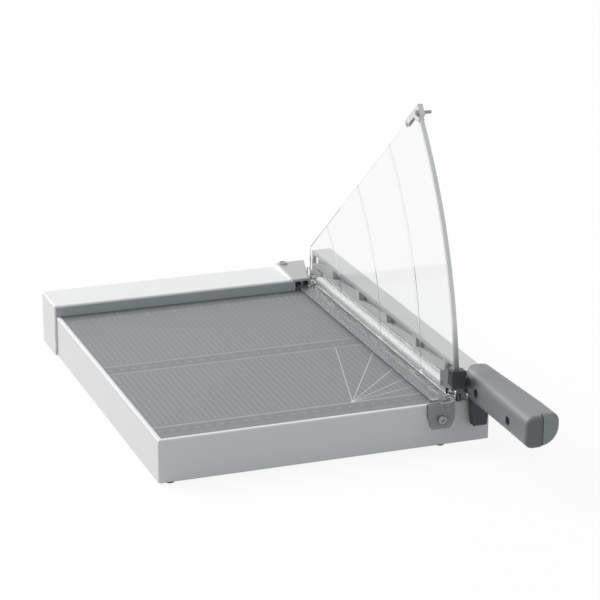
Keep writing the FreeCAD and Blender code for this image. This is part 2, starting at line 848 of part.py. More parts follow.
# Black cap that closes the arm's front end, with a tapered tongue in front of the blade's tip
def behind_handle(gap):
    # the space behind the handle's rear end, whose face leans and curls under
    knee_y = front - end_slant_knee + gap
    top_y = front - end_slant_top + gap
    low_y = front - end_slant_bottom + gap
    lean = (top_y - knee_y) / (handle_top - handle_knee_z)
    crown = handle_top + 5
    knee = (knee_y, handle_knee_z)
    drop = handle_knee_z - handle_bottom
    bend = (knee_y - 0.3 * (knee_y - low_y), handle_knee_z - 0.66 * drop)
    rim = [
        Part.makeLine(vec(left, top_y + 5 * lean, crown), vec(left, *knee)),
        Part.Arc(vec(left, *knee), vec(left, *bend), vec(left, low_y, handle_bottom)).toShape(),
        Part.makeLine(vec(left, low_y, handle_bottom), vec(left, low_y, edge_z)),
        Part.makeLine(vec(left, low_y, edge_z), vec(left, front + handle_blank, edge_z)),
        Part.makeLine(vec(left, front + handle_blank, edge_z), vec(left, front + handle_blank, crown)),
        Part.makeLine(vec(left, front + handle_blank, crown), vec(left, top_y + 5 * lean, crown)),
    ]
    return Part.Face(Part.Wire(rim)).extrude(vec(base_width + 40, 0, 0))


def arm_end_cap():
    skirt = arm_top - arm_skirt
    back = arm_front_y - 0.1
    tip = front - tongue_front
    cap = box(arm_left + 0.1, arm_right - 0.1, tip, back, skirt, arm_top - 0.2)
    bottom = edge_z + tongue_bottom
    inset = 0.19 * (arm_right - arm_left)
    tongue = [(arm_left + 0.9, skirt + 1), (arm_right - 1.3, skirt + 1),
              (arm_right - inset, bottom), (arm_left + inset, bottom)]
    tongue_body = prism_y(tongue, tip, front - tongue_rear)
    tongue_body = tongue_body.makeFillet(1.6, edges_near(tongue_body, lambda p: abs(p.z - bottom) < 1e-6))
    cap = cap.fuse(tongue_body).cut(handle_plan(end_gap).cut(behind_handle(end_gap)))
    plug = box(web_right + 0.15, arm_right - arm_web - 0.15, back - 0.1, back + cap_plug,
               skirt + 1, window_top - 0.15)
    cap = cap.fuse(plug).cut(tang_clearance_wide())
    return max(cap.Solids, key=lambda solid: solid.Volume)


def tang_clearance_wide():
    return box(tang_x0() - tang_play, tang_x0() + tang_thickness + tang_play,
               front - 40, front + 40, tang_z - tang_play, tang_z + tang_height + tang_play)


def handle_tang():
    y0 = front - tang_in_handle
    y1 = arm_front_y + tang_inside
    bar = box(tang_x0(), tang_x0() + tang_thickness, y0, y1, tang_z, tang_z + tang_height)
    ends = [e for e in bar.Edges if abs(e.Vertexes[0].Y - e.Vertexes[-1].Y) < 1e-6
            and abs(e.Vertexes[0].Z - e.Vertexes[-1].Z) < 1e-6]
    bar = bar.makeFillet(2.0, ends)
    for y in handle_screw_ys():
        bar = bar.cut(rod_x(handle_screw_radius + 0.2, tang_x0() - 1, tang_x0() + tang_thickness + 1,
                            y, handle_screw_z))
    for y in tang_screw_ys():
        bar = bar.cut(rod_x(tang_screw_radius() + 0.02, tang_x0() - 1, tang_x0() + tang_thickness + 1,
                            y, handle_screw_z))
    return bar


def tang_screws():
    screws = []
    for y in tang_screw_ys():
        screws.append(pan_screw_x(tang_screw_radius(), tang_screw_head, tang_x0() + 0.4, arm_right,
                                  2.6, y, handle_screw_z))
    return Part.makeCompound(screws)


def handle_screw_ys():
    return (front - handle_screw_near, front - handle_screw_far)


# Handle: a flared grip in two halves that clamp round the tang
def rounded_rect(cx, cz, width, height, radii, y):
    # radii of the corners: low right, high right, high left, low left
    x0, x1 = cx - width / 2, cx + width / 2
    z0, z1 = cz - height / 2, cz + height / 2
    turns = ((x1, z0, -1, 1), (x1, z1, -1, -1), (x0, z1, 1, -1), (x0, z0, 1, 1))
    ends = []
    for index, ((x, z, sx, sz), radius) in enumerate(zip(turns, radii)):
        k = radius * (1 - math.sqrt(0.5))
        along = (x + sx * radius, z)
        upright = (x, z + sz * radius)
        first, last = (along, upright) if index % 2 == 0 else (upright, along)
        ends.append((first, (x + sx * k, z + sz * k), last))
    edges = []
    for index, (a, b, c) in enumerate(ends):
        edges.append(Part.Arc(vec(a[0], y, a[1]), vec(b[0], y, b[1]), vec(c[0], y, c[1])).toShape())
        following = ends[(index + 1) % 4][0]
        edges.append(Part.makeLine(vec(c[0], y, c[1]), vec(following[0], y, following[1])))
    return Part.Wire(edges)


def grip_blank(inset, nose):
    # flared blank with its edges moved in by an inset; it bulges to the right before its end
    mid_z = (handle_top + handle_bottom) / 2
    share = 1 - handle_flare / (handle_length + 4)
    width = handle_width_rear + (handle_width_front - handle_width_rear) * share + handle_flare_bulge
    middle_x = handle_mid_x + handle_sweep * (2 * share - 1) + handle_flare_bulge / 2
    palm = handle_corner_rear + (handle_palm_round - handle_corner_rear) * share
    places = (
        (handle_mid_x - handle_sweep, handle_width_rear, handle_height,
         [handle_corner_rear, handle_corner_rear, handle_thumb_round, handle_corner_rear], front + 4),
        (middle_x, width, handle_height - handle_height_taper * share,
         [palm, handle_corner_front, handle_thumb_round, handle_corner_front],
         handle_end_y + handle_flare),
        (handle_mid_x + handle_sweep, handle_width_front, handle_height - handle_height_taper,
         [handle_palm_round, handle_corner_front, handle_thumb_round, handle_corner_front],
         handle_end_y + inset),
    )
    sections = [rounded_rect(x, mid_z, wide - 2 * inset, high - 2 * inset, [r - inset for r in radii], y)
                for x, wide, high, radii, y in places]
    grip = Part.makeLoft(sections, True, True)
    end = edges_near(grip, lambda p: abs(p.y - handle_end_y - inset) < 1e-6)
    return grip.makeFillet(nose - inset, end)


def handle_plan(gap):
    # all that lies in front of the handle's arched rear end, seen from above
    x0 = handle_mid_x - handle_width_rear
    x1 = handle_mid_x + handle_width_rear
    ends_y = front - handle_arch + gap
    arch_mid = vec(handle_mid_x - handle_sweep, front + 0.9 + gap, edge_z)
    arch_left = vec(handle_mid_x - handle_sweep - handle_width_rear / 2, ends_y, edge_z)
    arch_right = vec(handle_mid_x - handle_sweep + handle_width_rear / 2, ends_y, edge_z)
    plan = [
        Part.Arc(arch_left, arch_mid, arch_right).toShape(),
        Part.makeLine(arch_right, vec(x1, ends_y, edge_z)),
        Part.makeLine(vec(x1, ends_y, edge_z), vec(x1, handle_end_y - 5, edge_z)),
        Part.makeLine(vec(x1, handle_end_y - 5, edge_z), vec(x0, handle_end_y - 5, edge_z)),
        Part.makeLine(vec(x0, handle_end_y - 5, edge_z), vec(x0, ends_y, edge_z)),
        Part.makeLine(vec(x0, ends_y, edge_z), arch_left),
    ]
    return Part.Face(Part.Wire(plan)).extrude(vec(0, 0, handle_top))


def handle_body(nose):
    grip = grip_blank(0, nose).cut(behind_handle(0)).common(handle_plan(0))
    pocket = box(tang_x0() - tang_play, tang_x0() + tang_thickness + tang_play,
                 front - tang_in_handle - 0.3, front + 40,
                 tang_z - tang_play, tang_z + tang_height + tang_play)
    # groove round the end, where the halves meet
    slab = box(handle_mid_x - handle_seam / 2, handle_mid_x + handle_seam / 2, handle_end_y - 1,
               handle_end_y + nose, handle_bottom - 1, handle_top + 1)
    return grip.cut(pocket).cut(slab.cut(grip_blank(handle_seam_depth, nose)))


def handle_left():
    side = box(left, handle_mid_x, handle_end_y - 9, front + 50, 0, handle_top + 9)
    half = handle_body(handle_nose_left).common(side)
    for y in handle_screw_ys():
        seat = handle_screw_seat()
        half = half.cut(rod_x(handle_screw_recess, seat - 30, seat, y, handle_screw_z))
        half = half.cut(rod_x(handle_screw_radius + 0.1, seat - 1, handle_mid_x + 1, y, handle_screw_z))
    return half


def handle_screw_seat():
    return handle_mid_x - handle_sweep - handle_width_rear / 2 + handle_screw_sink


def handle_right():
    side = box(handle_mid_x + 0.05, right + 60, handle_end_y - 9, front + 50, 0, handle_top + 9)
    half = handle_body(handle_nose_right).common(side)
    for y in handle_screw_ys():
        half = half.cut(rod_x(handle_screw_radius, handle_mid_x - 1, handle_mid_x + 8, y, handle_screw_z))
    return half


def handle_screws():
    screws = []
    for y in handle_screw_ys():
        screws.append(pan_screw_x(handle_screw_radius - 0.02, handle_screw_head, handle_mid_x + 7,
                                  handle_screw_seat(), 2.0, y, handle_screw_z))
    return Part.makeCompound(screws)


# Clear guard: a sector with its centre at the pivot, stiffened by concentric raised arcs
def slope_point(along):
    turn = math.radians(guard_slope)
    y = pivot_y + guard_slope_offset * math.sin(turn) - along * math.cos(turn)
    z = pivot_z + guard_slope_offset * math.cos(turn) + along * math.sin(turn)
    return y, z


def slope_length(radius):
    return math.sqrt(radius ** 2 - guard_slope_offset ** 2)


def angle_of(point):
    return math.degrees(math.atan2(point[1] - pivot_z, pivot_y - point[0]))


def guard_panel():
    x0 = guard_x - guard_thickness / 2
    x1 = guard_x + guard_thickness / 2
    tip = slope_point(slope_length(guard_radius))
    low_z = post_z + 0.05
    low_angle = math.degrees(math.asin((low_z - pivot_z) / guard_radius))
    toe = (pivot_y - guard_radius * math.cos(math.radians(low_angle)), low_z)
    middle_angle = math.radians((low_angle + angle_of(tip)) / 2)
    middle = (pivot_y - guard_radius * math.cos(middle_angle),
              pivot_z + guard_radius * math.sin(middle_angle))
    step_y = front + 5.2
    rear_y = guard_heel_y()
    along = (pivot_y + guard_slope_offset * math.sin(math.radians(guard_slope)) - rear_y)
    heel = slope_point(along / math.cos(math.radians(guard_slope)))

    def at(point):
        return vec(x0, point[0], point[1])

    rim = [
        Part.Arc(at(tip), at(middle), at(toe)).toShape(),
        Part.makeLine(at(toe), at((step_y, low_z))),
        Part.makeLine(at((step_y, low_z)), at((step_y, guard_bottom))),
        Part.makeLine(at((step_y, guard_bottom)), at((rear_y, guard_bottom))),
        Part.makeLine(at((rear_y, guard_bottom)), at(heel)),
        Part.makeLine(at(heel), at(tip)),
    ]
    panel = Part.Face(Part.Wire(rim)).extrude(vec(x1 - x0, 0, 0))
    blank = panel.copy()
    blank.translate(vec(guard_thickness, 0, 0))
    for radius in arc_rib_radii:
        ring = sector(radius - arc_rib_width / 2, radius + arc_rib_width / 2, 1, arc_rib_sweep,
                      x1 - 0.1, x1 + arc_rib_height)
        panel = panel.fuse(ring.common(blank.fuse(panel)))
    for y in guard_screw_ys():
        panel = panel.cut(rod_x(guard_screw_radius + 0.05, x0 - 1, x1 + 1, y, guard_screw_z()))
    for y, z in post_screw_places():
        panel = panel.cut(rod_x(1.2, x0 - 1, x1 + 1, y, z))
    return panel.cut(rod_x(clip_screw_radius + 0.1, x0 - 1, x1 + 1, *clip_screw_place()))


def guard_screw_ys():
    return (fence_y + bracket_gap + 2.0, fence_y + bracket_gap + 5.8)


def guard_screw_z():
    return table_z + bracket_height - 4.4


# Strip that grips the guard's curved edge and guides the shoe
def guard_edge_strip():
    low_angle = math.degrees(math.asin((post_z + 0.1 - pivot_z) / guard_radius))
    top_angle = angle_of(slope_point(slope_length(guard_radius))) - 1.9
    half = strip_width / 2
    strip = sector(guard_radius - strip_lap, strip_outer, low_angle, top_angle, guard_x - half, guard_x + half)
    groove = sector(guard_radius - strip_lap - 1, guard_radius + strip_play, low_angle - 1, top_angle + 1,
                    guard_x - guard_thickness / 2 - strip_play, guard_x + guard_thickness / 2 + strip_play)
    return strip.cut(groove)


# Clip on the guard's tip, which ends the arm's swing
def clip_local(along, across):
    # place measured along the guard's sloped edge from its tip, and at right angles above that edge
    turn = math.radians(guard_slope)
    y, z = slope_point(slope_length(guard_radius) + along)
    return y + across * math.sin(turn), z + across * math.cos(turn)


def clip_half():
    return guard_thickness / 2 + clip_wall


def guard_tip_clip():
    half = clip_half()
    side = [clip_local(-clip_length, -clip_depth), clip_local(-clip_length, clip_wall),
            clip_local(clip_reach, clip_wall), clip_local(clip_reach, -clip_head),
            clip_local(-clip_neck, -clip_head), clip_local(-clip_neck - 3, -clip_depth)]
    clip = prism_x(side, guard_x - half, guard_x + half)
    slot = [clip_local(-clip_length - 1, -clip_head - 5), clip_local(-clip_length - 1, 0.1),
            clip_local(1.0, 0.1), clip_local(1.0, -clip_head - 5)]
    clip = clip.cut(prism_x(slot, guard_x - guard_thickness / 2 - 0.1, guard_x + guard_thickness / 2 + 0.1))
    top_angle = angle_of(clip_local(0, 0)) - 1.85
    clip = clip.cut(sector(guard_radius - 30, guard_radius + 30, 10, top_angle, guard_x - half - 1,
                           guard_x + half + 1))
    clip = clip.cut(rod_x(stop_pin_radius, guard_x - half - 1, guard_x + half + 1, *clip_pin_place()))
    return clip.cut(rod_x(clip_screw_radius + 0.1, guard_x - half - 1, guard_x + half + 1, *clip_screw_place()))


def clip_pin_place():
    return clip_local(3.5, -5.4)


def clip_screw_place():
    return clip_local(3.5 - clip_length, -2.2)


def guard_stop_pin():
    y, z = clip_pin_place()
    x0 = guard_x - clip_half()
    pin = rod_x(stop_pin_radius - 0.02, x0 - 0.5, guard_x + clip_half() + stop_pin_length, y, z)
    pin = pin.makeFillet(0.5, edges_near(pin, lambda p: p.x > guard_x))
    head = rod_x(stop_pin_head, x0 - 1.8, x0 - 0.02, y, z)
    return pin.fuse(head.makeFillet(0.6, edges_near(head, lambda p: p.x < x0 - 1)))


def guard_tip_screw():
    return pan_screw_x(clip_screw_radius, clip_screw_head, guard_x + clip_half() - 0.2,
                       guard_x - clip_half(), 0.8, *clip_screw_place())


def bracket_x0():
    return guard_x + guard_thickness / 2 + arc_rib_height + 0.1


def guard_rear_bracket():
    x0 = bracket_x0()
    y0 = fence_y + bracket_gap
    y1 = y0 + bracket_length
    leg = box(x0, x0 + bracket_leg, y0, y1, table_z + 0.05, table_z + bracket_height)
    foot = box(x0, clamp_right, y0, y1, table_z + 0.05, table_z + bracket_foot)
    wall = box(clamp_right - bracket_wall, clamp_right, y0, y1, table_z + 0.05, table_z + bracket_height)
    body = leg.fuse(foot).fuse(wall)
    body = body.makeFillet(0.8, edges_near(body, lambda p: abs(p.z - table_z - bracket_height) < 1e-6
                                           and abs(p.x - x0 - bracket_leg) < 1e-6))
    for y in guard_screw_ys():
        body = body.cut(rod_x(guard_screw_radius + 0.1, x0 - 1, x0 + bracket_leg + 1, y, guard_screw_z()))
    for y in bracket_screw_ys():
        body = body.cut(rod_z(bracket_screw_radius + 0.1, table_z - 1, table_z + bracket_foot + 1,
                              bracket_screw_x(), y))
    return body


def guard_screw_group():
    seat = bracket_x0() + bracket_leg
    tip = guard_x - guard_thickness / 2 + 0.1
    return Part.makeCompound([pan_screw_x(guard_screw_radius, guard_screw_head, tip, seat, 1.0, y,
                                          guard_screw_z())
                              for y in guard_screw_ys()])


def bracket_screw_group():
    return Part.makeCompound([pan_screw_z(bracket_screw_radius - 0.03, bracket_screw_head, table_z - 5,
                                          table_z + bracket_foot, 1.2, bracket_screw_x(), y)
                              for y in bracket_screw_ys()])


# Bracket at the guard's front corner: an upright plate beside the panel, a foot under the
# shoe and a leg down to the front rim
def post_plate_outline():
    x0 = guard_x - guard_thickness / 2 - 0.05 - post_wall
    outline = [(front - 4.0, post_z - post_plate), (front + 13.6, post_z - post_plate - 3.2),
               (front + 13.6, post_z + 7.8), (front + 5.2, post_z + 10.0), (front + 3.8, post_z + 17.8),
               (front - 1.2, post_z + 17.8), (front - 4.0, post_z + 13.0)]
    return x0, outline


def post_screw_places():
    return ((front + 10.6, post_z - 2.6), (front + 1.1, post_z + 15.2))


def guard_front_post():
    x0, outline = post_plate_outline()
    x1 = post_leg_x + post_leg_radius
    plate = prism_x(outline, x0, x0 + post_wall)
    foot = box(x0, x1, front - shoe_rear - 1, post_leg_y + post_leg_radius, post_z - post_plate, post_z)
    foot = foot.makeFillet(1.2, upright_edges(foot, x=[x1]))
    leg = rod_z(post_leg_radius, rim_z + post_nut_height, post_z - 0.1, post_leg_x, post_leg_y)
    body = plate.fuse(foot).fuse(leg)
    for y, z in post_screw_places():
        body = body.cut(rod_x(1.2, x0 - 1, x0 + post_wall + 1, y, z))
    return body


def post_screws():
    x0, outline = post_plate_outline()
    tip = guard_x + guard_thickness / 2 + 1.4
    return Part.makeCompound([pan_screw_x(1.15, 2.0, tip, x0, 0.9, y, z)
                              for y, z in post_screw_places()])


def post_standoff():
    x, y = post_leg_x, post_leg_y
    body = rod_z(post_nut_radius, rim_z + 0.02, rim_z + post_nut_height - 0.05, x, y)
    ring = edges_near(body, lambda p: p.z > rim_z + 1)
    return body.makeFillet(0.5, ring)


# Shoe that straddles the edge strip and ties the arm's end to its curve
def guide_shoe():
    half = strip_width / 2 + shoe_play
    x0 = guard_x - half - shoe_cheek_left
    x1 = guard_x + half + shoe_cheek_right
    top = shoe_z + shoe_height
    face = [(x0, shoe_z + shoe_chamfer), (x0 + shoe_chamfer, shoe_z), (x1, shoe_z),
            (x1, top - 1.0), (x0, top)]
    block = prism_y(face, front - shoe_front, front - shoe_rear)
    block = block.makeFillet(shoe_round, block.Edges)
    low = shoe_z + 0.6
    high = arm_top - 0.8
    arm_side = box(x1 - 3, arm_left - 1.8, front - shoe_rear - 3, arm_front_y - 0.3, low, high)
    joint = box(arm_left - 3, arm_left + 0.1, front - 1.6, arm_front_y - 0.3, low, high)
    body = block.fuse(arm_side).fuse(joint)
    slot = sector(guard_radius - 26, strip_outer + shoe_play, 0.5, 14, guard_x - half, guard_x + half)
    return body.cut(slot)


# Clear clamp bar: a flat flange with two fine grooves and a rounded ridge, guided at both ends
def clamp_bar():
    y0 = front + 0.2
    y1 = fence_y - 0.6
    high = ridge_top
    groove = guard_x - guard_thickness / 2 - 2.4
    outline = [(clamp_left, clamp_under), (clamp_right, clamp_under), (clamp_right, high),
               (ridge_left, high), (ridge_left, flange_top)]
    for k in range(2):
        x = groove - k * 2.0
        outline += [(x + groove_width / 2, flange_top), (x + groove_width / 2, flange_top - groove_depth),
                    (x - groove_width / 2, flange_top - groove_depth), (x - groove_width / 2, flange_top)]
    outline.append((clamp_left, flange_top))
    bar = prism_y(outline, y0, y1)
    crest = [e for e in edges_near(bar, lambda p: abs(p.z - high) < 1e-6)
             if abs(e.Vertexes[0].Y - e.Vertexes[-1].Y) > 10]
    bar = bar.makeFillet(clamp_ridge_round, crest)
    nose = [(y0 - 1, high + 1), (y0 - 1, flange_top), (front + 6.0, flange_top),
            (front + clamp_nose, high + 1)]
    bar = bar.cut(prism_x(nose, ridge_left - 0.01, clamp_right + 1))
    bar = bar.cut(box(post_leg_x - post_nut_radius - 0.6, right, front - 1,
                      post_leg_y + post_nut_radius + 0.5, rim_z - 1, high + 5))
    tail = box(clamp_left, tail_right, y1 - 1, y1 + clamp_tail_length, clamp_under, flange_top)
    bar = bar.fuse(tail.makeFillet(3.0, upright_edges(tail, y=[y1 + clamp_tail_length])))
    bar = bar.fuse(rod_z(4.4, clamp_under, stud_seat_z(), rear_stud_x, rear_stud_y))
    for x, y in stud_places():
        bar = bar.cut(rod_z(stud_radius + stud_play, clamp_under - 1, high + 5, x, y))
        bar = bar.cut(rod_z(pocket_radius, clamp_under - 1, clamp_under + pocket_depth, x, y))
    return bar.cut(rod_z(stud_head + 0.3, stud_seat_z(), high + 5, front_stud_x, front_stud_y))


def stud_places():
    return ((front_stud_x, front_stud_y), (rear_stud_x, rear_stud_y))


def stud_seat_z():
    return clamp_under + 3.0


def clamp_studs():
    front_stud = pan_screw_z(stud_radius - 0.02, stud_head, table_z - 7, stud_seat_z() + 0.05, stud_head_height,
                             front_stud_x, front_stud_y)
    rear_stud = pan_screw_z(stud_radius - 0.02, stud_head, table_z - 7, stud_seat_z() + 0.05, stud_head_height,
                            rear_stud_x, rear_stud_y)
    return Part.makeCompound([front_stud, rear_stud])


# Small coil springs round the studs, under the bar: each turn is eight arcs with shared tangents
def biarc(p0, t0, p1, t1):
    chord = p1 - p0
    total = t0 + t1
    a = 2 * (t0.dot(t1) - 1)
    b = -2 * chord.dot(total)
    reach = (-b - math.sqrt(b * b - 4 * a * chord.dot(chord))) / (2 * a)
    q0 = p0 + t0 * reach
    q1 = p1 - t1 * reach
    joint = (q0 + q1) * 0.5
    arcs = []
    for start, corner, end, along in ((p0, q0, joint, t0), (joint, q1, p1, (q1 - q0).normalize())):
        base = (start + end) * 0.5
        turn = along.getAngle(end - corner)
        bulge = (end - start).Length / 2 * math.tan(turn / 4)
        middle = base + (corner - base).normalize() * bulge
        arcs.append(Part.Arc(start, middle, end).toShape())
    return arcs


def coil(x, y, low, high):
    def point(quarter):
        turn = math.pi / 2 * quarter
        lift = (high - low) * quarter / (4 * spring_turns)
        return vec(x + spring_radius * math.cos(turn), y + spring_radius * math.sin(turn), low + lift)

    def tangent(quarter):
        turn = math.pi / 2 * quarter
        rise = (high - low) / (2 * math.pi * spring_turns)
        return vec(-spring_radius * math.sin(turn), spring_radius * math.cos(turn), rise).normalize()

    arcs = []
    for quarter in range(4 * spring_turns):
        arcs += biarc(point(quarter), tangent(quarter), point(quarter + 1), tangent(quarter + 1))
    points = [point(k / 4) for k in range(16 * spring_turns + 1)]
    gap = min(points[k].distanceToPoint(points[k + 16]) for k in range(len(points) - 16)) - spring_wire
    print("gap between the spring's turns", round(gap, 2))
    profile = Part.Wire(Part.Edge(Part.Circle(point(0), tangent(0), spring_wire / 2)))
    return Part.Wire(arcs).makePipeShell([profile], True, False)


def clamp_springs():
    low = table_z + spring_wire / 2 + 0.05
    high = clamp_under + pocket_depth - spring_wire / 2 - 0.05
    return Part.makeCompound([coil(x, y, low, high) for x, y in stud_places()])


# Apron: the clamp's folded front end, with a slot that runs on a shoulder screw
def clamp_apron():
    x0 = clamp_left - apron_side
    x1 = x0 + apron_width
    y1 = front - apron_gap
    y0 = y1 - apron_thickness
    bottom = rim_z - apron_drop
    top = rim_z + 0.9
    shoulder = bottom + apron_taper_height
    outline = [(x0, top), (x0, shoulder), (x0 + apron_taper_width, bottom),
               (x1 - apron_taper_width, bottom), (x1, shoulder - 4), (x1, top)]
    plate = prism_y(outline, y0, y1)
    plate = plate.makeFillet(1.8, corner_edges_y(plate, shoulder + 1))
    neck_x = x0 + apron_neck_inset
    neck = box(neck_x, neck_x + apron_neck, y0 - 0.6, y1, top - 3.6, flange_top)
    fold = box(clamp_left, min(x1, ridge_left) - 0.2, y0 + 0.6, front + 0.15, clamp_under, flange_top)
    web = box(neck_x - 3, neck_x + apron_neck + 1, y0 + 0.6, y1, top - 1, clamp_under + 0.5)
    plate = plate.fuse(neck).fuse(fold).fuse(web)
    mid = apron_screw_x()
    z = rim_z - apron_screw_drop
    wide = apron_screw_radius + 0.2
    slot = box(mid - wide, mid + wide, y0 - 1, y1 + 1, z, z + clamp_lift)
    slot = slot.fuse(rod_y(wide, y0 - 1, y1 + 1, mid, z)).fuse(rod_y(wide, y0 - 1, y1 + 1, mid, z + clamp_lift))
    return plate.cut(slot)


def corner_edges_y(shape, below):
    # edges that run along Y, lower than a height
    return [e for e in edges_near(shape, lambda p: p.z < below)
            if abs(e.Vertexes[0].X - e.Vertexes[-1].X) < 1e-6
            and abs(e.Vertexes[0].Z - e.Vertexes[-1].Z) < 1e-6]


def apron_screw():
    x = apron_screw_x()
    z = rim_z - apron_screw_drop
    seat = front - apron_gap - apron_thickness - 0.1
    shoulder = rod_y(apron_screw_radius, seat, front - 0.02, x, z)
    thread = rod_y(apron_screw_radius - 0.45, front - 0.5, front + base_wall + 3, x, z)
    head = rod_y(apron_screw_head, seat - 2.0, seat, x, z)
    head = head.makeFillet(0.8, edges_near(head, lambda p: abs(p.y - seat + 2.0) < 1e-6))
    socket = rod_y(1.5, seat - 3, seat - 1.0, x, z)
    return shoulder.fuse(thread).fuse(head).cut(socket)


def build():
    os.makedirs("parts", exist_ok=True)
    makers = [
        ("base_shell", base_shell), ("rubber_feet", feet), ("foot_screws", foot_screws),
        ("cutting_mat", mat), ("bed_knife", bed_knife), ("bed_knife_screws", bed_knife_screws),
        ("rear_cover", rear_cover), ("fence_strip", fence_strip), ("pivot_cover", pivot_cover),
        ("pivot_cover_screw", pivot_cover_screw), ("pivot_bracket", pivot_bracket),
        ("pivot_bolt", pivot_bolt), ("pivot_nut", pivot_nut), ("thrust_washer", thrust_washer),
        ("pivot_washer", pivot_washer), ("disc_springs", disc_springs), ("pivot_bush", pivot_bush),
        ("cutting_arm", cutting_arm), ("upper_blade", upper_blade), ("blade_screws", blade_screw_group),
        ("arm_end_cap", arm_end_cap), ("guide_shoe", guide_shoe), ("handle_tang", handle_tang),
        ("tang_screws", tang_screws), ("handle_left", handle_left), ("handle_right", handle_right),
        ("handle_screws", handle_screws), ("guard_panel", guard_panel),
        ("guard_edge_strip", guard_edge_strip), ("guard_tip_clip", guard_tip_clip),
        ("guard_stop_pin", guard_stop_pin), ("guard_tip_screw", guard_tip_screw),
        ("guard_rear_bracket", guard_rear_bracket),
        ("guard_screws", guard_screw_group), ("bracket_screws", bracket_screw_group),
        ("guard_front_post", guard_front_post), ("post_standoff", post_standoff),
        ("post_screws", post_screws),
        ("clamp_bar", clamp_bar), ("clamp_apron", clamp_apron), ("apron_screw", apron_screw),
        ("clamp_studs", clamp_studs), ("clamp_springs", clamp_springs),
    ]
    for name, maker in makers:
        save(name, maker())


build()
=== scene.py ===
"""Desk paper trimmer: finishes, printed mat, trim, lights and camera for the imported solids."""
import logging
import math
from dataclasses import dataclass, field
from enum import Enum
from typing import Dict, List, Sequence, Tuple, Union

import bmesh
import bpy
from mathutils import Matrix, Vector


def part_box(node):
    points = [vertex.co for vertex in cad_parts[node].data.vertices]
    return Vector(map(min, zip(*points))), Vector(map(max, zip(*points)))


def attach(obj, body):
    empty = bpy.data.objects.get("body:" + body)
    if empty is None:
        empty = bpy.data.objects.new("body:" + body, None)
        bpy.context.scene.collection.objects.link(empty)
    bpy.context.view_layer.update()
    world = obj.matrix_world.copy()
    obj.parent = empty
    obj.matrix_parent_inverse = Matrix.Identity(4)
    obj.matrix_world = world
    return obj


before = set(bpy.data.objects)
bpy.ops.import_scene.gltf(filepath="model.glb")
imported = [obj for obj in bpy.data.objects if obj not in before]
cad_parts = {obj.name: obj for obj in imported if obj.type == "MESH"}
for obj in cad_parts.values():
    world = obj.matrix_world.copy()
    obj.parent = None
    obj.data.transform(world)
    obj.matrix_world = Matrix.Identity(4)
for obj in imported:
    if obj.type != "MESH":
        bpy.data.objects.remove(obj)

LOG = logging.getLogger("trimmer")
MM = 0.001
INCH = 25.4
WELD = 1e-6
FLOAT = "NodeSocketFloat"
VECTOR = ("NodeSocketVector", None)

Pair = Tuple[float, float]
Pairs = Tuple[Pair, ...]
Triple = Tuple[float, float, float]
Colour = Triple
Node = bpy.types.Node
Tree = bpy.types.NodeTree
Outputs = bpy.types.NodeOutputs
Socket = bpy.types.NodeSocket
Material = bpy.types.Material
Piece = bpy.types.Object
Number = Union[float, Socket]
WHITE: Colour = (1.0, 1.0, 1.0)
SAME = (1.0, 1.0, 1.0)


def grey(value: float, cool: float = 0.0) -> Colour:
    """Turns a screen grey into a linear colour.

    Args:
        value: The grey as it shows on a screen, from 0 to 1.
        cool: How far red falls and blue rises, from 0 to 0.1.

    Returns:
        Linear red, green and blue.
    """
    def linear(channel: float) -> float:
        """Screen value to linear value."""
        return channel / 12.92 if channel <= 0.04045 else ((channel + 0.055) / 1.055) ** 2.4
    return linear(value - cool), linear(value), linear(value + cool * 0.25)


def shade(colour: Colour, share: float) -> Colour:
    """Returns a colour times a share, and no brighter than white."""
    return tuple(min(1.0, c * share) for c in colour)


class Datum:
    """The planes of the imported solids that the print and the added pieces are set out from."""

    cut_x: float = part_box("bed_knife")[1].x
    front_y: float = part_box("base_shell")[0].y
    table_z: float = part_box("cutting_mat")[1].z
    pivot_y: float = (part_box("pivot_bolt")[0].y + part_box("pivot_bolt")[1].y) / 2
    pivot_z: float = (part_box("pivot_bolt")[0].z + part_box("pivot_bolt")[1].z) / 2

    @classmethod
    def across(cls, back: float) -> float:
        """Returns the X that lies a distance in millimetres to the left of the cutting line."""
        return cls.cut_x - back * MM

    @classmethod
    def along(cls, distance: float) -> float:
        """Returns the Y that lies a distance in millimetres behind the housing's front face."""
        return cls.front_y + distance * MM


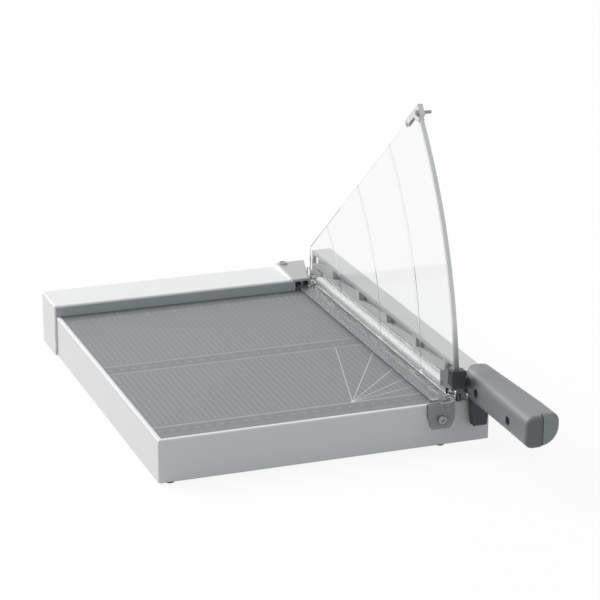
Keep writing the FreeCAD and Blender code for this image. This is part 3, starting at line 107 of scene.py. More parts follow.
class Wiring:
    """Adds nodes to one node tree and links them."""

    def __init__(self, tree: Tree) -> None:
        """Keeps the tree that the nodes go into."""
        self.tree = tree

    def add(self, kind: str, **settings: object) -> Node:
        """Adds a node.

        Args:
            kind: The node's type name.
            settings: Attributes to set on the node.

        Returns:
            The new node.
        """
        node = self.tree.nodes.new(kind)
        for name, value in settings.items():
            setattr(node, name, value)
        return node

    def put(self, socket: Socket, value: object) -> None:
        """Links an output to a socket, or writes a plain value there."""
        if isinstance(value, Socket):
            self.tree.links.new(value, socket)
        else:
            socket.default_value = value

    def feed(self, node: Node, **values: object) -> Node:
        """Feeds a node's inputs.

        Args:
            node: The node.
            values: Plain values or outputs by input name, with spaces written as underscores.

        Returns:
            The node.
        """
        for name, value in values.items():
            self.put(node.inputs[name.replace("_", " ")], value)
        return node

    def maths(self, operation: str, *values: Number) -> Socket:
        """Adds a Math node.

        Args:
            operation: The operation's name.
            values: Plain numbers or outputs, in the order of the node's inputs.

        Returns:
            The node's output.
        """
        node = self.add("ShaderNodeMath", operation=operation)
        for socket, value in zip(node.inputs, values):
            self.put(socket, value)
        return node.outputs[0]

    def mix(self, factor: Number, first: object, second: object) -> Socket:
        """Mixes two colours.

        Args:
            factor: The share of the second colour.
            first: A colour or an output.
            second: A colour or an output.

        Returns:
            The mixed colour.
        """
        node = self.add("ShaderNodeMix", data_type="RGBA")
        self.put(node.inputs["Factor"], factor)
        for socket, value in zip([s for s in node.inputs if s.type == "RGBA"], (first, second)):
            self.put(socket, value if isinstance(value, Socket) else (*value, 1.0))
        return next(s for s in node.outputs if s.type == "RGBA")

    def plus(self, first: Number, second: Number) -> Socket:
        """Returns the sum of two numbers."""
        return self.maths("ADD", first, second)

    def minus(self, first: Number, second: Number) -> Socket:
        """Returns the first number less the second."""
        return self.maths("SUBTRACT", first, second)

    def times(self, first: Number, second: Number) -> Socket:
        """Returns the product of two numbers."""
        return self.maths("MULTIPLY", first, second)

    def place(self, shift: Sequence[float] = (0.0, 0.0, 0.0), scale: Sequence[float] = SAME) -> Socket:
        """Gives object coordinates, scaled and then moved.

        Args:
            shift: Shift after the scale.
            scale: Scale along each axis.

        Returns:
            The coordinates.
        """
        source = self.add("ShaderNodeTexCoord").outputs["Object"]
        mapping = self.add("ShaderNodeMapping", vector_type="POINT")
        return self.feed(mapping, Vector=source, Location=shift, Scale=scale).outputs["Vector"]

    def split(self, vector: Socket) -> Outputs:
        """Takes a vector apart.

        Args:
            vector: The vector.

        Returns:
            Its parts, named X, Y and Z.
        """
        node = self.add("ShaderNodeSeparateXYZ")
        self.put(node.inputs[0], vector)
        return node.outputs

    def axis(self, name: str, start: float) -> Socket:
        """Returns the distance in millimetres along an axis from a plane whose place is in metres."""
        return self.minus(self.split(self.place(scale=(1 / MM, 1 / MM, 1 / MM)))[name], start / MM)

    def facing(self, name: str) -> Socket:
        """Returns how far the surface faces along an axis, from -1 to 1."""
        return self.split(self.add("ShaderNodeNewGeometry").outputs["Normal"])[name]

    def reach(self, vector: Socket, centre: Sequence[float]) -> Socket:
        """Measures the distance from a point.

        Args:
            vector: The place to measure.
            centre: The point.

        Returns:
            The distance.
        """
        node = self.add("ShaderNodeVectorMath", operation="DISTANCE")
        self.put(node.inputs[0], vector)
        node.inputs[1].default_value = centre
        return node.outputs["Value"]

    def noise(self, vector: Socket, scale: Number, detail: float) -> Socket:
        """Returns the grey value of a noise texture with a fineness and a number of octaves."""
        node = self.feed(self.add("ShaderNodeTexNoise"), Vector=vector, Scale=scale, Detail=detail)
        return node.outputs["Fac"]

    def bump(self, strength: float, depth: float, height: Socket, **normal: Socket) -> Socket:
        """Returns the surface's direction with a bump of a depth in metres, which follows a height."""
        node = self.add("ShaderNodeBump")
        return self.feed(node, Strength=strength, Distance=depth, Height=height, **normal).outputs["Normal"]

    def blend(self, output: Node, share: Socket, first: Node, second: Node) -> None:
        """Feeds the output with two shaders.

        Args:
            output: The material's output node.
            share: The share of the second shader.
            first: A shader.
            second: A shader.
        """
        node = self.add("ShaderNodeMixShader")
        for socket, value in zip(node.inputs, (share, first.outputs[0], second.outputs[0])):
            self.put(socket, value)
        self.put(output.inputs["Surface"], node.outputs[0])

    def seen(self) -> Socket:
        """Returns 1 for rays from the camera, mirrored or through glass too."""
        path = self.add("ShaderNodeLightPath").outputs
        return self.maths("MAXIMUM", path["Is Camera Ray"],
                          self.maths("MAXIMUM", path["Is Glossy Ray"], path["Is Transmission Ray"]))

    def ramp(self, value: Number, low: float, high: float) -> Socket:
        """Gives 0 up to a low value, 1 from a high one, and a straight rise between them.

        Args:
            value: The value to follow.
            low: Where the rise starts.
            high: Where it ends.

        Returns:
            The share from 0 to 1.
        """
        rise = self.times(self.minus(value, low), 1 / (high - low))
        return self.maths("MINIMUM", self.maths("MAXIMUM", rise, 0.0), 1.0)


class Effects:
    """The node groups that several finishes share, each built once."""

    def __init__(self) -> None:
        """Builds every group."""
        self.grain = self._grain()
        self.wear = self._wear()
        self.dust = self._dust()
        self.rule = self._rule()
        self.ray = self._ray()
        self.brushed = self._brushed()

    @staticmethod
    def _start(name: str, inputs: Dict[str, Tuple[str, object]], outputs: Dict[str, str]
               ) -> Tuple[Wiring, Outputs, bpy.types.NodeInputs]:
        """Begins a node group.

        Args:
            name: The group's name.
            inputs: Socket type and default by input name.
            outputs: Socket type by output name.

        Returns:
            The wiring, what comes into the group and what goes out of it.
        """
        tree = bpy.data.node_groups.new(name, "ShaderNodeTree")
        for label, (kind, default) in inputs.items():
            socket = tree.interface.new_socket(name=label, in_out="INPUT", socket_type=kind)
            if default is not None:
                socket.default_value = default
        for label, kind in outputs.items():
            tree.interface.new_socket(name=label, in_out="OUTPUT", socket_type=kind)
        wiring = Wiring(tree)
        return wiring, wiring.add("NodeGroupInput").outputs, wiring.add("NodeGroupOutput").inputs

    def _grain(self) -> Tree:
        """Returns the fine texture of a moulded surface: a height, a tint and a roughness change."""
        w, start, end = self._start(
            "moulded_grain", {"Vector": VECTOR, "Fineness": (FLOAT, 2500.0), "Blotch": (FLOAT, 22.0)},
            {"Height": FLOAT, "Tint": FLOAT, "Rough": FLOAT})
        broad = w.noise(start["Vector"], start["Blotch"], 3.0)
        w.put(end["Height"], w.noise(start["Vector"], start["Fineness"], 2.0))
        w.put(end["Tint"], broad)
        w.put(end["Rough"], w.minus(broad, 0.5))
        return w.tree

    def _wear(self) -> Tree:
        """Returns a mask along sharp edges, broken up by noise, and a normal that rounds them."""
        w, start, end = self._start(
            "edge_wear", {"Vector": VECTOR, "Radius": (FLOAT, 0.0006), "Amount": (FLOAT, 0.5)},
            {"Mask": FLOAT, "Normal": VECTOR[0]})
        bevel = w.add("ShaderNodeBevel", samples=4)
        w.put(bevel.inputs["Radius"], start["Radius"])
        dot = w.add("ShaderNodeVectorMath", operation="DOT_PRODUCT")
        w.put(dot.inputs[0], bevel.outputs["Normal"])
        w.put(dot.inputs[1], w.add("ShaderNodeNewGeometry").outputs["True Normal"])
        edge = w.times(w.minus(1.0, dot.outputs["Value"]), 4.0)
        patchy = w.times(w.minus(w.noise(start["Vector"], 90.0, 4.0), 0.38), 3.0)
        mask = w.times(w.maths("MINIMUM", edge, 1.0), w.maths("MAXIMUM", patchy, 0.0))
        w.put(end["Mask"], w.maths("MINIMUM", w.times(mask, start["Amount"]), 1.0))
        w.put(end["Normal"], bevel.outputs["Normal"])
        return w.tree

    def _dust(self) -> Tree:
        """Returns a mask of dust that settles on faces that look up."""
        w, start, end = self._start(
            "settled_dust", {"Vector": VECTOR, "Amount": (FLOAT, 0.1)}, {"Mask": FLOAT})
        up = w.maths("MAXIMUM", w.minus(w.facing("Z"), 0.4), 0.0)
        settled = w.times(up, w.noise(start["Vector"], 38.0, 5.0))
        w.put(end["Mask"], w.times(settled, start["Amount"]))
        return w.tree

    def _rule(self) -> Tree:
        """Returns a mask of evenly spaced printed lines between two limits across them."""
        w, start, end = self._start(
            "printed_rule",
            {"Along": (FLOAT, 0.0), "Across": (FLOAT, 0.0), "Pitch": (FLOAT, 0.005),
             "Half Width": (FLOAT, 0.0001), "Middle": (FLOAT, 0.0), "Half Length": (FLOAT, 0.1)},
            {"Mask": FLOAT})
        half = w.times(start["Pitch"], 0.5)
        wrapped = w.maths("WRAP", start["Along"], half, w.times(half, -1.0))
        line = w.maths("COMPARE", wrapped, 0.0, start["Half Width"])
        inside = w.maths("COMPARE", start["Across"], start["Middle"], start["Half Length"])
        w.put(end["Mask"], w.times(line, inside))
        return w.tree

    def _ray(self) -> Tree:
        """Returns a mask of one printed line that leaves a centre at an angle."""
        w, start, end = self._start(
            "printed_ray",
            {"Vector": VECTOR, "Centre": VECTOR, "Angle": (FLOAT, 0.0), "Half Width": (FLOAT, 0.0002),
             "Length": (FLOAT, 0.1)},
            {"Mask": FLOAT})
        gap = w.add("ShaderNodeVectorMath", operation="SUBTRACT")
        w.put(gap.inputs[0], start["Vector"])
        w.put(gap.inputs[1], start["Centre"])
        parts = w.split(gap.outputs[0])
        cosine = w.maths("COSINE", start["Angle"])
        sine = w.maths("SINE", start["Angle"])
        along = w.plus(w.times(parts["X"], cosine), w.times(parts["Y"], sine))
        across = w.minus(w.times(parts["Y"], cosine), w.times(parts["X"], sine))
        half = w.times(start["Length"], 0.5)
        w.put(end["Mask"], w.times(w.maths("COMPARE", across, 0.0, start["Half Width"]),
                                   w.maths("COMPARE", along, half, half)))
        return w.tree

    def _brushed(self) -> Tree:
        """Returns the fine lines of ground metal: a height and a tint."""
        w, start, end = self._start(
            "ground_lines", {"Vector": VECTOR, "Fineness": (FLOAT, 900.0)}, {"Height": FLOAT, "Tint": FLOAT})
        lines = w.noise(start["Vector"], start["Fineness"], 3.0)
        w.put(end["Height"], lines)
        w.put(end["Tint"], lines)
        return w.tree

    @staticmethod
    def use(w: Wiring, group: Tree, **values: object) -> Outputs:
        """Places a group in a material.

        Args:
            w: The material's wiring.
            group: The node group.
            values: Inputs by name, with spaces written as underscores.

        Returns:
            What the group gives.
        """
        return w.feed(w.add("ShaderNodeGroup", node_tree=group), **values).outputs


def begin(name: str) -> Tuple[Wiring, Node, Node]:
    """Begins a material.

    Args:
        name: The material's name.

    Returns:
        The wiring, the Principled BSDF and the output node.
    """
    material = bpy.data.materials.new(name)
    material.use_nodes = True
    material.node_tree.nodes.clear()
    w = Wiring(material.node_tree)
    shader = w.add("ShaderNodeBsdfPrincipled")
    output = w.add("ShaderNodeOutputMaterial")
    w.put(output.inputs["Surface"], shader.outputs["BSDF"])
    return w, shader, output


def material_of(w: Wiring) -> Material:
    """Returns the material that a wiring belongs to."""
    return next(m for m in bpy.data.materials if m.node_tree == w.tree)


@dataclass(frozen=True)
class MouldedPlastic:
    """An opaque moulded plastic or rubber with fine grain, worn edges and a trace of dust."""

    name: str
    colour: Colour
    roughness: float = 0.45
    grain: float = 0.15
    fineness: float = 2500.0
    variation: float = 0.05
    wear: float = 0.25
    wear_lift: float = 1.35
    edge_radius: float = 0.0005
    dust: float = 0.06
    coat: float = 0.0
    dust_colour: Colour = (0.62, 0.61, 0.59)
    rough_change: float = 0.12
    dust_rough: float = 0.3
    bump_depth: float = 0.12 * MM

    def build(self, effects: Effects) -> Material:
        """Builds the material.

        Args:
            effects: The shared node groups.

        Returns:
            The material.
        """
        w, shader, _ = begin(self.name)
        place = w.place()
        grain = effects.use(w, effects.grain, Vector=place, Fineness=self.fineness)
        wear = effects.use(w, effects.wear, Vector=place, Radius=self.edge_radius, Amount=self.wear)
        dust = effects.use(w, effects.dust, Vector=place, Amount=self.dust)
        worn = tuple(min(1.0, c * self.wear_lift + 0.01) for c in self.colour)
        tone = w.mix(grain["Tint"], shade(self.colour, 1.0 - self.variation),
                     shade(self.colour, 1.0 + self.variation))
        tone = w.mix(wear["Mask"], self.local_tone(w, tone), worn)
        rough = w.plus(self.roughness, w.times(grain["Rough"], self.rough_change))
        rough = w.minus(rough, w.times(wear["Mask"], self.rough_change))
        w.feed(shader, Base_Color=w.mix(dust["Mask"], tone, self.dust_colour),
               Roughness=w.plus(rough, w.times(dust["Mask"], self.dust_rough)), Coat_Weight=self.coat,
               Normal=w.bump(self.grain, self.bump_depth, grain["Height"], Normal=wear["Normal"]))
        return material_of(w)

    def local_tone(self, w: Wiring, tone: Socket) -> Socket:
        """Returns the tone unchanged; a finish that differs over its piece changes it here."""
        return tone


@dataclass(frozen=True)
class FootTinted(MouldedPlastic):
    """A moulded plastic with painted shade that darkens it towards the foot of a tall piece."""

    foot_tone: float = 0.2
    foot_low: float = 32.0
    foot_high: float = 70.0

    def local_tone(self, w: Wiring, tone: Socket) -> Socket:
        """Paints shade into the tone towards the foot, by the height above the table."""
        rise = w.ramp(w.axis("Z", Datum.table_z), self.foot_low, self.foot_high)
        return w.mix(rise, shade(self.colour, self.foot_tone), tone)


@dataclass(frozen=True)
class GripPlastic(MouldedPlastic):
    """The grip's plastic, with painted shade on its front end left of the seam and painted light on it right
    of the seam.
    """

    # shares of painted shade (left of the seam) and painted light (right of it) on the front end
    left_share: float = 0.66
    right_share: float = 1.3
    turn_start: float = 0.6
    turn_end: float = 0.98

    def local_tone(self, w: Wiring, tone: Socket) -> Socket:
        """Paints shade onto the front end's left half and light onto its right half.

        Args:
            w: The material's wiring.
            tone: The tone so far.

        Returns:
            The tone for each half of the end.
        """
        beyond = w.maths("GREATER_THAN", w.axis("X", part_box("handle_left")[1].x), 0.0)
        end = w.mix(beyond, shade(self.colour, self.left_share), shade(self.colour, self.right_share))
        return w.mix(w.ramp(w.times(w.facing("Y"), -1.0), self.turn_start, self.turn_end), tone, end)


@dataclass(frozen=True)
class ArmPaint(MouldedPlastic):
    """The arm's coat: pale on top and darker on its inner web, with a little painted shade behind the web's
    windows.
    """

    side_colour: Colour = grey(0.715, 0.006)
    side_reach: float = 1.5
    recess_colour: Colour = grey(0.80, 0.008)
    recess_reach: float = 7.0

    def local_tone(self, w: Wiring, tone: Socket) -> Socket:
        """Darkens the web, and paints shade on what shows through its windows.

        Args:
            w: The material's wiring.
            tone: The tone so far.

        Returns:
            The tone for each distance behind the web.
        """
        depth = w.axis("X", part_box("cutting_arm")[0].x)
        # painted shade on inward faces seen through the windows
        inner = w.times(w.maths("LESS_THAN", depth, self.recess_reach),
                        w.maths("LESS_THAN", w.facing("X"), -0.5))
        tone = w.mix(inner, tone, self.recess_colour)
        return w.mix(w.maths("LESS_THAN", depth, self.side_reach), tone, self.side_colour)


@dataclass(frozen=True)
class Metal:
    """A bare or plated metal with fine lines along one axis."""

    name: str
    colour: Colour
    roughness: float = 0.28
    stretch: Triple = (1.0, 0.06, 1.0)
    fineness: float = 1400.0
    grain: float = 0.12
    wear: float = 0.3
    edge_radius: float = 0.2 * MM
    dark_share: float = 0.86
    bright_share: float = 1.2
    rough_change: float = 0.12
    bump_depth: float = 0.05 * MM

    def build(self, effects: Effects) -> Material:
        """Builds the material.

        Args:
            effects: The shared node groups.

        Returns:
            The material.
        """
        w, shader, _ = begin(self.name)
        lines = effects.use(w, effects.brushed, Vector=w.place(scale=self.stretch), Fineness=self.fineness)
        wear = effects.use(w, effects.wear, Vector=w.place(), Radius=self.edge_radius, Amount=self.wear)
        ground = w.mix(lines["Tint"], shade(self.colour, self.dark_share), self.colour)
        tone = w.mix(wear["Mask"], ground, shade(self.colour, self.bright_share))
        rough = w.plus(self.roughness - self.rough_change / 2, w.times(lines["Tint"], self.rough_change))
        w.feed(shader, Base_Color=self.local_tone(w, tone), Metallic=1.0, Roughness=rough,
               Normal=w.bump(self.grain, self.bump_depth, lines["Height"], Normal=wear["Normal"]))
        return material_of(w)

    def local_tone(self, w: Wiring, tone: Socket) -> Socket:
        """Returns the tone unchanged; a metal that differs over its piece changes it here."""
        return tone


@dataclass(frozen=True)
class BladeSteel(Metal):
    """Blade steel with a painted brighter reflection on the face that looks at the clamp bar, and duller
    along its upper edge.
    """

    face_colour: Colour = grey(0.95)

    def local_tone(self, w: Wiring, tone: Socket) -> Socket:
        """Paints a brighter reflection onto the face that looks at the clamp bar."""
        return w.mix(w.maths("LESS_THAN", w.facing("X"), -0.5), tone, self.face_colour)


@dataclass(frozen=True)
class ClearPlastic:
    """A clear or tinted sheet that lets light through to what lies behind it."""

    name: str
    tint: Colour
    roughness: float = 0.04
    haze: float = 0.03
    clearness: float = 1.0
    ior: float = 1.49

    def build(self, effects: Effects) -> Material:
        """Builds the material.

        Args:
            effects: The shared node groups.

        Returns:
            The material.
        """
        w, shader, output = begin(self.name)
        grain = effects.use(w, effects.grain, Vector=w.place(), Fineness=400.0, Blotch=14.0)
        tone = w.mix(grain["Tint"], shade(self.tint, 1.0 - self.haze), self.tint)
        w.feed(shader, Base_Color=self.local_tone(w, tone), IOR=self.ior, Transmission_Weight=self.clearness,
               Roughness=w.plus(self.roughness, w.times(grain["Tint"], self.haze)))
        clear = w.feed(w.add("ShaderNodeBsdfTransparent"), Color=(*self.tint, 1.0))
        path = w.add("ShaderNodeLightPath").outputs
        w.blend(output, w.maths("MAXIMUM", path["Is Shadow Ray"], path["Is Diffuse Ray"]), shader, clear)
        return material_of(w)

    def local_tone(self, w: Wiring, tone: Socket) -> Socket:
        """Returns the tone unchanged; a sheet with marks on it changes it here."""
        return tone


@dataclass(frozen=True)
class RingedPlastic(ClearPlastic):
    """The guard's sheet, with raised arcs round the pivot that show as faint lines."""

    rings: Tuple[float, ...] = (97.7, 189.4, 277.9)
    ring_half: float = 1.4
    ring_tone: float = 0.9

    def local_tone(self, w: Wiring, tone: Socket) -> Socket:
        """Darkens the sheet along the arcs.

        Args:
            w: The material's wiring.
            tone: The tone so far.

        Returns:
            The tone with the arcs in it.
        """
        reach = w.reach(w.place(scale=(0.0, 1.0, 1.0)), (0.0, Datum.pivot_y, Datum.pivot_z))
        for radius in self.rings:
            ring = w.maths("COMPARE", reach, radius * MM, self.ring_half * MM)
            tone = w.mix(ring, tone, shade(self.tint, self.ring_tone))
        return tone


@dataclass(frozen=True)
class StripedPlastic(ClearPlastic):
    """The clamp bar's plastic, with paler streaks along it."""

    streaks: Pairs = ((16.2, 0.8), (10.2, 1.0))
    streak_colour: Colour = (0.88, 0.89, 0.892)

    def local_tone(self, w: Wiring, tone: Socket) -> Socket:
        """Lightens the streaks, which are set out from the bar's right side.

        Args:
            w: The material's wiring.
            tone: The tone so far.

        Returns:
            The tone with the streaks in it.
        """
        back = w.times(w.axis("X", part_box("clamp_bar")[1].x), -1.0)
        for middle, half in self.streaks:
            tone = w.mix(w.maths("COMPARE", back, middle, half), tone, self.streak_colour)
        return tone


@dataclass(frozen=True)
class FrostedEdge:
    """Painted highlight on the clamp bar's ridge: paler up its left face, and fading across its top."""

    name: str
    low_colour: Colour = grey(0.63, 0.004)
    high_colour: Colour = grey(0.77, 0.002)
    crest_colour: Colour = grey(0.985)
    far_colour: Colour = grey(0.88, 0.003)
    low: float = 4.8
    high: float = 8.4
    crest: float = 4.4
    far: float = 1.0
    top_from: float = 0.8

    def build(self, effects: Effects) -> Material:
        """Builds the material.

        Args:
            effects: The shared node groups.

        Returns:
            The material.
        """
        w, shader, _ = begin(self.name)
        grain = effects.use(w, effects.grain, Vector=w.place(), Fineness=600.0, Blotch=60.0)
        rise = w.ramp(w.axis("Z", Datum.table_z), self.low, self.high)
        soft = w.times(rise, w.plus(0.95, w.times(grain["Tint"], 0.1)))
        side = w.mix(w.maths("MINIMUM", soft, 1.0), self.low_colour, self.high_colour)
        back = w.times(w.axis("X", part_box("clamp_bar")[1].x), -1.0)
        top = w.mix(w.ramp(back, self.far, self.crest), self.far_colour, self.crest_colour)
        w.feed(shader, Base_Color=w.mix(w.ramp(w.facing("Z"), self.top_from, 1.0), side, top),
               Roughness=w.plus(0.45, w.times(grain["Rough"], 0.1)))
        return material_of(w)


@dataclass(frozen=True)
class PrintedMat:
    """The grey mat's print: rulings from the cutting line, two metric rulers, inches and angle lines."""

    name: str = "printed_mat"
    field_colour: Colour = grey(0.538, 0.016)
    band_colour: Colour = grey(0.518, 0.016)
    rear_colour: Colour = grey(0.495, 0.016)
    ink: Colour = grey(0.84, 0.006)
    variation: float = 0.03
    grid_pitch: float = 5.0
    grid_half_width: float = 0.2
    grid_weight: float = 0.36
    grid_front: Pair = (31.0, 150.0)
    grid_rear: Pair = (176.0, 290.0)
    fade_from: float = 180.0
    fade_over: float = 100.0
    rear_fade: float = 0.18
    bands: Pairs = ((12.0, 24.5), (157.0, 168.5))
    rear_band: Pair = (298.5, 314.0)
    edge_lines: Pairs = ((27.6, 0.38), (153.6, 0.2), (172.6, 0.28))
    edge_weight: float = 0.9
    ticks: Pairs = ((24.6, 26.8), (154.0, 156.4))
    tick_half_width: float = 0.1
    tick_weight: float = 0.4
    inch_ticks: Tuple[Tuple[int, float], ...] = ((4, 296.0), (2, 297.4), (1, 299.0))
    inch_start: float = 291.5
    inch_half_width: float = 0.3
    inch_weight: float = 0.35
    angle_origin: Pair = (-84.3, 28.4)
    angles: Pairs = ((75, 128.8), (60, 150.0), (45, 105.0), (30, 85.0), (15, 77.0))
    angle_half_width: float = 0.32
    spot_radius: float = 1.6

    def build(self, effects: Effects) -> Material:
        """Builds the material.

        Args:
            effects: The shared node groups.

        Returns:
            The material.
        """
        w, shader, _ = begin(self.name)
        place = w.place(shift=(-Datum.cut_x / MM, -Datum.front_y / MM, 0.0), scale=(1 / MM, 1 / MM, 0.0))
        parts = w.split(place)
        x, y = parts["X"], parts["Y"]
        grain = effects.use(w, effects.grain, Vector=w.place(), Fineness=1800.0)
        colour = w.mix(grain["Tint"], shade(self.field_colour, 1.0 - self.variation),
                       shade(self.field_colour, 1.0 + self.variation))
        tones = [(band, self.band_colour) for band in self.bands] + [(self.rear_band, self.rear_colour)]
        for (low, high), tone in tones:
            colour = w.mix(w.maths("COMPARE", y, (low + high) / 2, (high - low) / 2), colour, tone)
        masks: List[Socket] = []

        def rule(pitch: float, half: float, limits: Pair, weight: Number) -> None:
            """Adds one set of lines, spaced from the cutting line, to the print."""
            low, high = limits
            node = effects.use(w, effects.rule, Along=x, Across=y, Pitch=pitch, Half_Width=half,
                               Middle=(low + high) / 2, Half_Length=(high - low) / 2)
            masks.append(w.times(node["Mask"], weight))

        behind = w.maths("MINIMUM", w.maths("MAXIMUM", w.minus(y, self.fade_from), 0.0), self.fade_over)
        fade = w.times(behind, self.rear_fade / self.fade_over)
        rule(self.grid_pitch, self.grid_half_width, self.grid_front, self.grid_weight)
        rule(self.grid_pitch, self.grid_half_width, self.grid_rear, w.minus(self.grid_weight, fade))
        for level, half in self.edge_lines:
            masks.append(w.times(w.maths("COMPARE", y, level, half), self.edge_weight))
        for limits in self.ticks:
            rule(1.0, self.tick_half_width, limits, self.tick_weight)
        for count, end in self.inch_ticks:
            rule(INCH / count, self.inch_half_width, (self.inch_start, end), self.inch_weight)
        centre = (*self.angle_origin, 0.0)
        for degrees, length in self.angles:
            ray = effects.use(w, effects.ray, Vector=place, Centre=centre, Angle=math.radians(degrees),
                              Half_Width=self.angle_half_width, Length=length)
            masks.append(ray["Mask"])
        masks.append(w.maths("LESS_THAN", w.reach(place, centre), self.spot_radius))
        ink = masks[0]
        for mask in masks[1:]:
            ink = w.maths("MAXIMUM", ink, mask)
        worn = w.times(ink, w.plus(0.7, w.times(grain["Tint"], 0.4)))
        w.feed(shader, Base_Color=w.mix(w.maths("MINIMUM", worn, 1.0), colour, self.ink),
               Roughness=w.plus(0.55, w.times(grain["Rough"], 0.15)),
               Normal=w.bump(0.15, 0.1 * MM, grain["Height"]))
        return material_of(w)


class Finish(Enum):
    """The finishes that the trimmer's pieces take."""

    HOUSING = MouldedPlastic("white_housing", grey(0.93, 0.002), 0.42, grain=0.12, wear=0.1, wear_lift=1.05,
                             variation=0.012, dust=0.02, edge_radius=0.0008)
    FENCE = MouldedPlastic("fence_grey", grey(0.69, 0.012), 0.5, wear=0.2)
    HOOD = MouldedPlastic("hood_grey", grey(0.745, 0.008), 0.42, wear=0.15, wear_lift=1.15)
    ARM = ArmPaint("arm_light_grey", grey(0.82, 0.004), 0.4, grain=0.1, wear=0.2, wear_lift=1.1,
                   variation=0.02, coat=0.1)
    # the grip's front end carries painted shade on its left half and painted light on its right half
    GRIP = GripPlastic("grip_grey", grey(0.52, 0.014), 0.42, grain=0.25, fineness=1700.0, wear=0.2)
    BLACK = MouldedPlastic("black_plastic", grey(0.21, 0.024), 0.4, wear=0.3, wear_lift=1.8)
    RUBBER = MouldedPlastic("foot_rubber", grey(0.12), 0.75, grain=0.4, wear=0.2, wear_lift=1.6)
    # the edge strip darkens towards its foot with painted shade
    STRIP = FootTinted("edge_strip_grey", grey(0.965, 0.004), 0.35, wear=0.1, wear_lift=1.02)
    CLEAR = RingedPlastic("clear_guard", (0.965, 0.972, 0.97), haze=0.02, ior=1.14)
    CLIP = MouldedPlastic("pale_clip", grey(0.95, 0.002), 0.3, grain=0.08, wear=0.1, wear_lift=1.05,
                          variation=0.02)
    CLAMP = StripedPlastic("clear_clamp", (0.75, 0.76, 0.762), roughness=0.18, haze=0.06, clearness=0.95,
                           ior=1.3)
    POST = MouldedPlastic("post_grey", grey(0.50, 0.01), 0.4, wear=0.15)
    SMOKE = ClearPlastic("smoke_clear", (0.70, 0.715, 0.715), roughness=0.12, haze=0.05)
    STEEL = Metal("ground_steel", grey(0.80), 0.26)
    # the blade's face towards the clamp carries a painted brighter reflection
    SATIN = BladeSteel("satin_blade", grey(0.64), 0.55)
    SCREW = Metal("plated_screw", grey(0.72), 0.3, stretch=SAME)
    PIN = Metal("dull_pin", grey(0.56), 0.35, stretch=SAME)
    BLACK_SCREW = Metal("sunk_screw", grey(0.4), 0.35, stretch=SAME)
    DARK_SCREW = Metal("blackened_screw", grey(0.33), 0.4, stretch=SAME)
    BRASS = Metal("turned_brass", (0.72, 0.52, 0.25), 0.3, stretch=SAME)
    INK = MouldedPlastic("numeral_ink", grey(0.67, 0.008), 0.5, grain=0.0, wear=0.0, dust=0.0)
    FAINT_INK = MouldedPlastic("inch_ink", grey(0.62, 0.008), 0.5, grain=0.0, wear=0.0, dust=0.0)
    # painted highlight on the clamp's ridge
    FROST = FrostedEdge("frosted_ridge")
    # painted shadow under the clamp flange's left edge
    SEAM = MouldedPlastic("tinted_edge", grey(0.36, 0.01), 0.4, wear=0.1)
    MAT = PrintedMat()


NODE_FINISH: Dict[Finish, Tuple[str, ...]] = {
    Finish.HOUSING: ("base_shell", "rear_cover"),
    Finish.MAT: ("cutting_mat",),
    Finish.FENCE: ("fence_strip",),
    Finish.HOOD: ("pivot_cover",),
    Finish.ARM: ("cutting_arm",),
    Finish.GRIP: ("handle_left", "handle_right"),
    Finish.BLACK: ("arm_end_cap", "guide_shoe"),
    Finish.RUBBER: ("rubber_feet",),
    Finish.STRIP: ("guard_edge_strip",),
    Finish.CLEAR: ("guard_panel", "guard_rear_bracket"),
    Finish.CLIP: ("guard_tip_clip",),
    Finish.CLAMP: ("clamp_bar",),
    Finish.SMOKE: ("clamp_apron",),
    Finish.POST: ("guard_front_post",),
    Finish.SATIN: ("upper_blade",),
    Finish.STEEL: ("bed_knife", "handle_tang", "pivot_bracket", "clamp_springs", "disc_springs"),
    Finish.SCREW: ("bed_knife_screws", "pivot_bolt", "pivot_nut", "thrust_washer", "pivot_washer",
                   "blade_screws", "tang_screws", "clamp_studs", "guard_screws", "bracket_screws",
                   "pivot_cover_screw", "guard_tip_screw"),
    Finish.PIN: ("guard_stop_pin", "apron_screw", "post_screws"),
    Finish.BLACK_SCREW: ("handle_screws",),
    Finish.DARK_SCREW: ("foot_screws", "post_standoff"),
    Finish.BRASS: ("pivot_bush",),
}


class Palette:
    """Builds each finish once and dresses objects with it."""

    def __init__(self, effects: Effects) -> None:
        """Keeps the shared groups."""
        self.effects = effects
        self.made: Dict[Finish, Material] = {}

    def get(self, finish: Finish) -> Material:
        """Returns the finish's material, built on its first use."""
        if finish not in self.made:
            self.made[finish] = finish.value.build(self.effects)
        return self.made[finish]

    def dress(self, thing: Piece, finish: Finish) -> None:
        """Gives every material slot of an object one finish."""
        if not thing.material_slots:
            thing.data.materials.append(self.get(finish))
        for slot in thing.material_slots:
            slot.material = self.get(finish)


def new_piece(name: str, mesh: bmesh.types.BMesh, body: str, material: Material) -> Piece:
    """Makes an object of a mesh and lets it ride on a body.

    Args:
        name: The piece's name.
        mesh: The mesh, with its place in its vertices.
        body: The body that carries it.
        material: Its material.

    Returns:
        The object.
    """
    data = bpy.data.meshes.new(name)
    mesh.to_mesh(data)
    mesh.free()
    data.materials.append(material)
    thing = bpy.data.objects.new(name, data)
    bpy.context.scene.collection.objects.link(thing)
    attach(thing, body)
    return thing


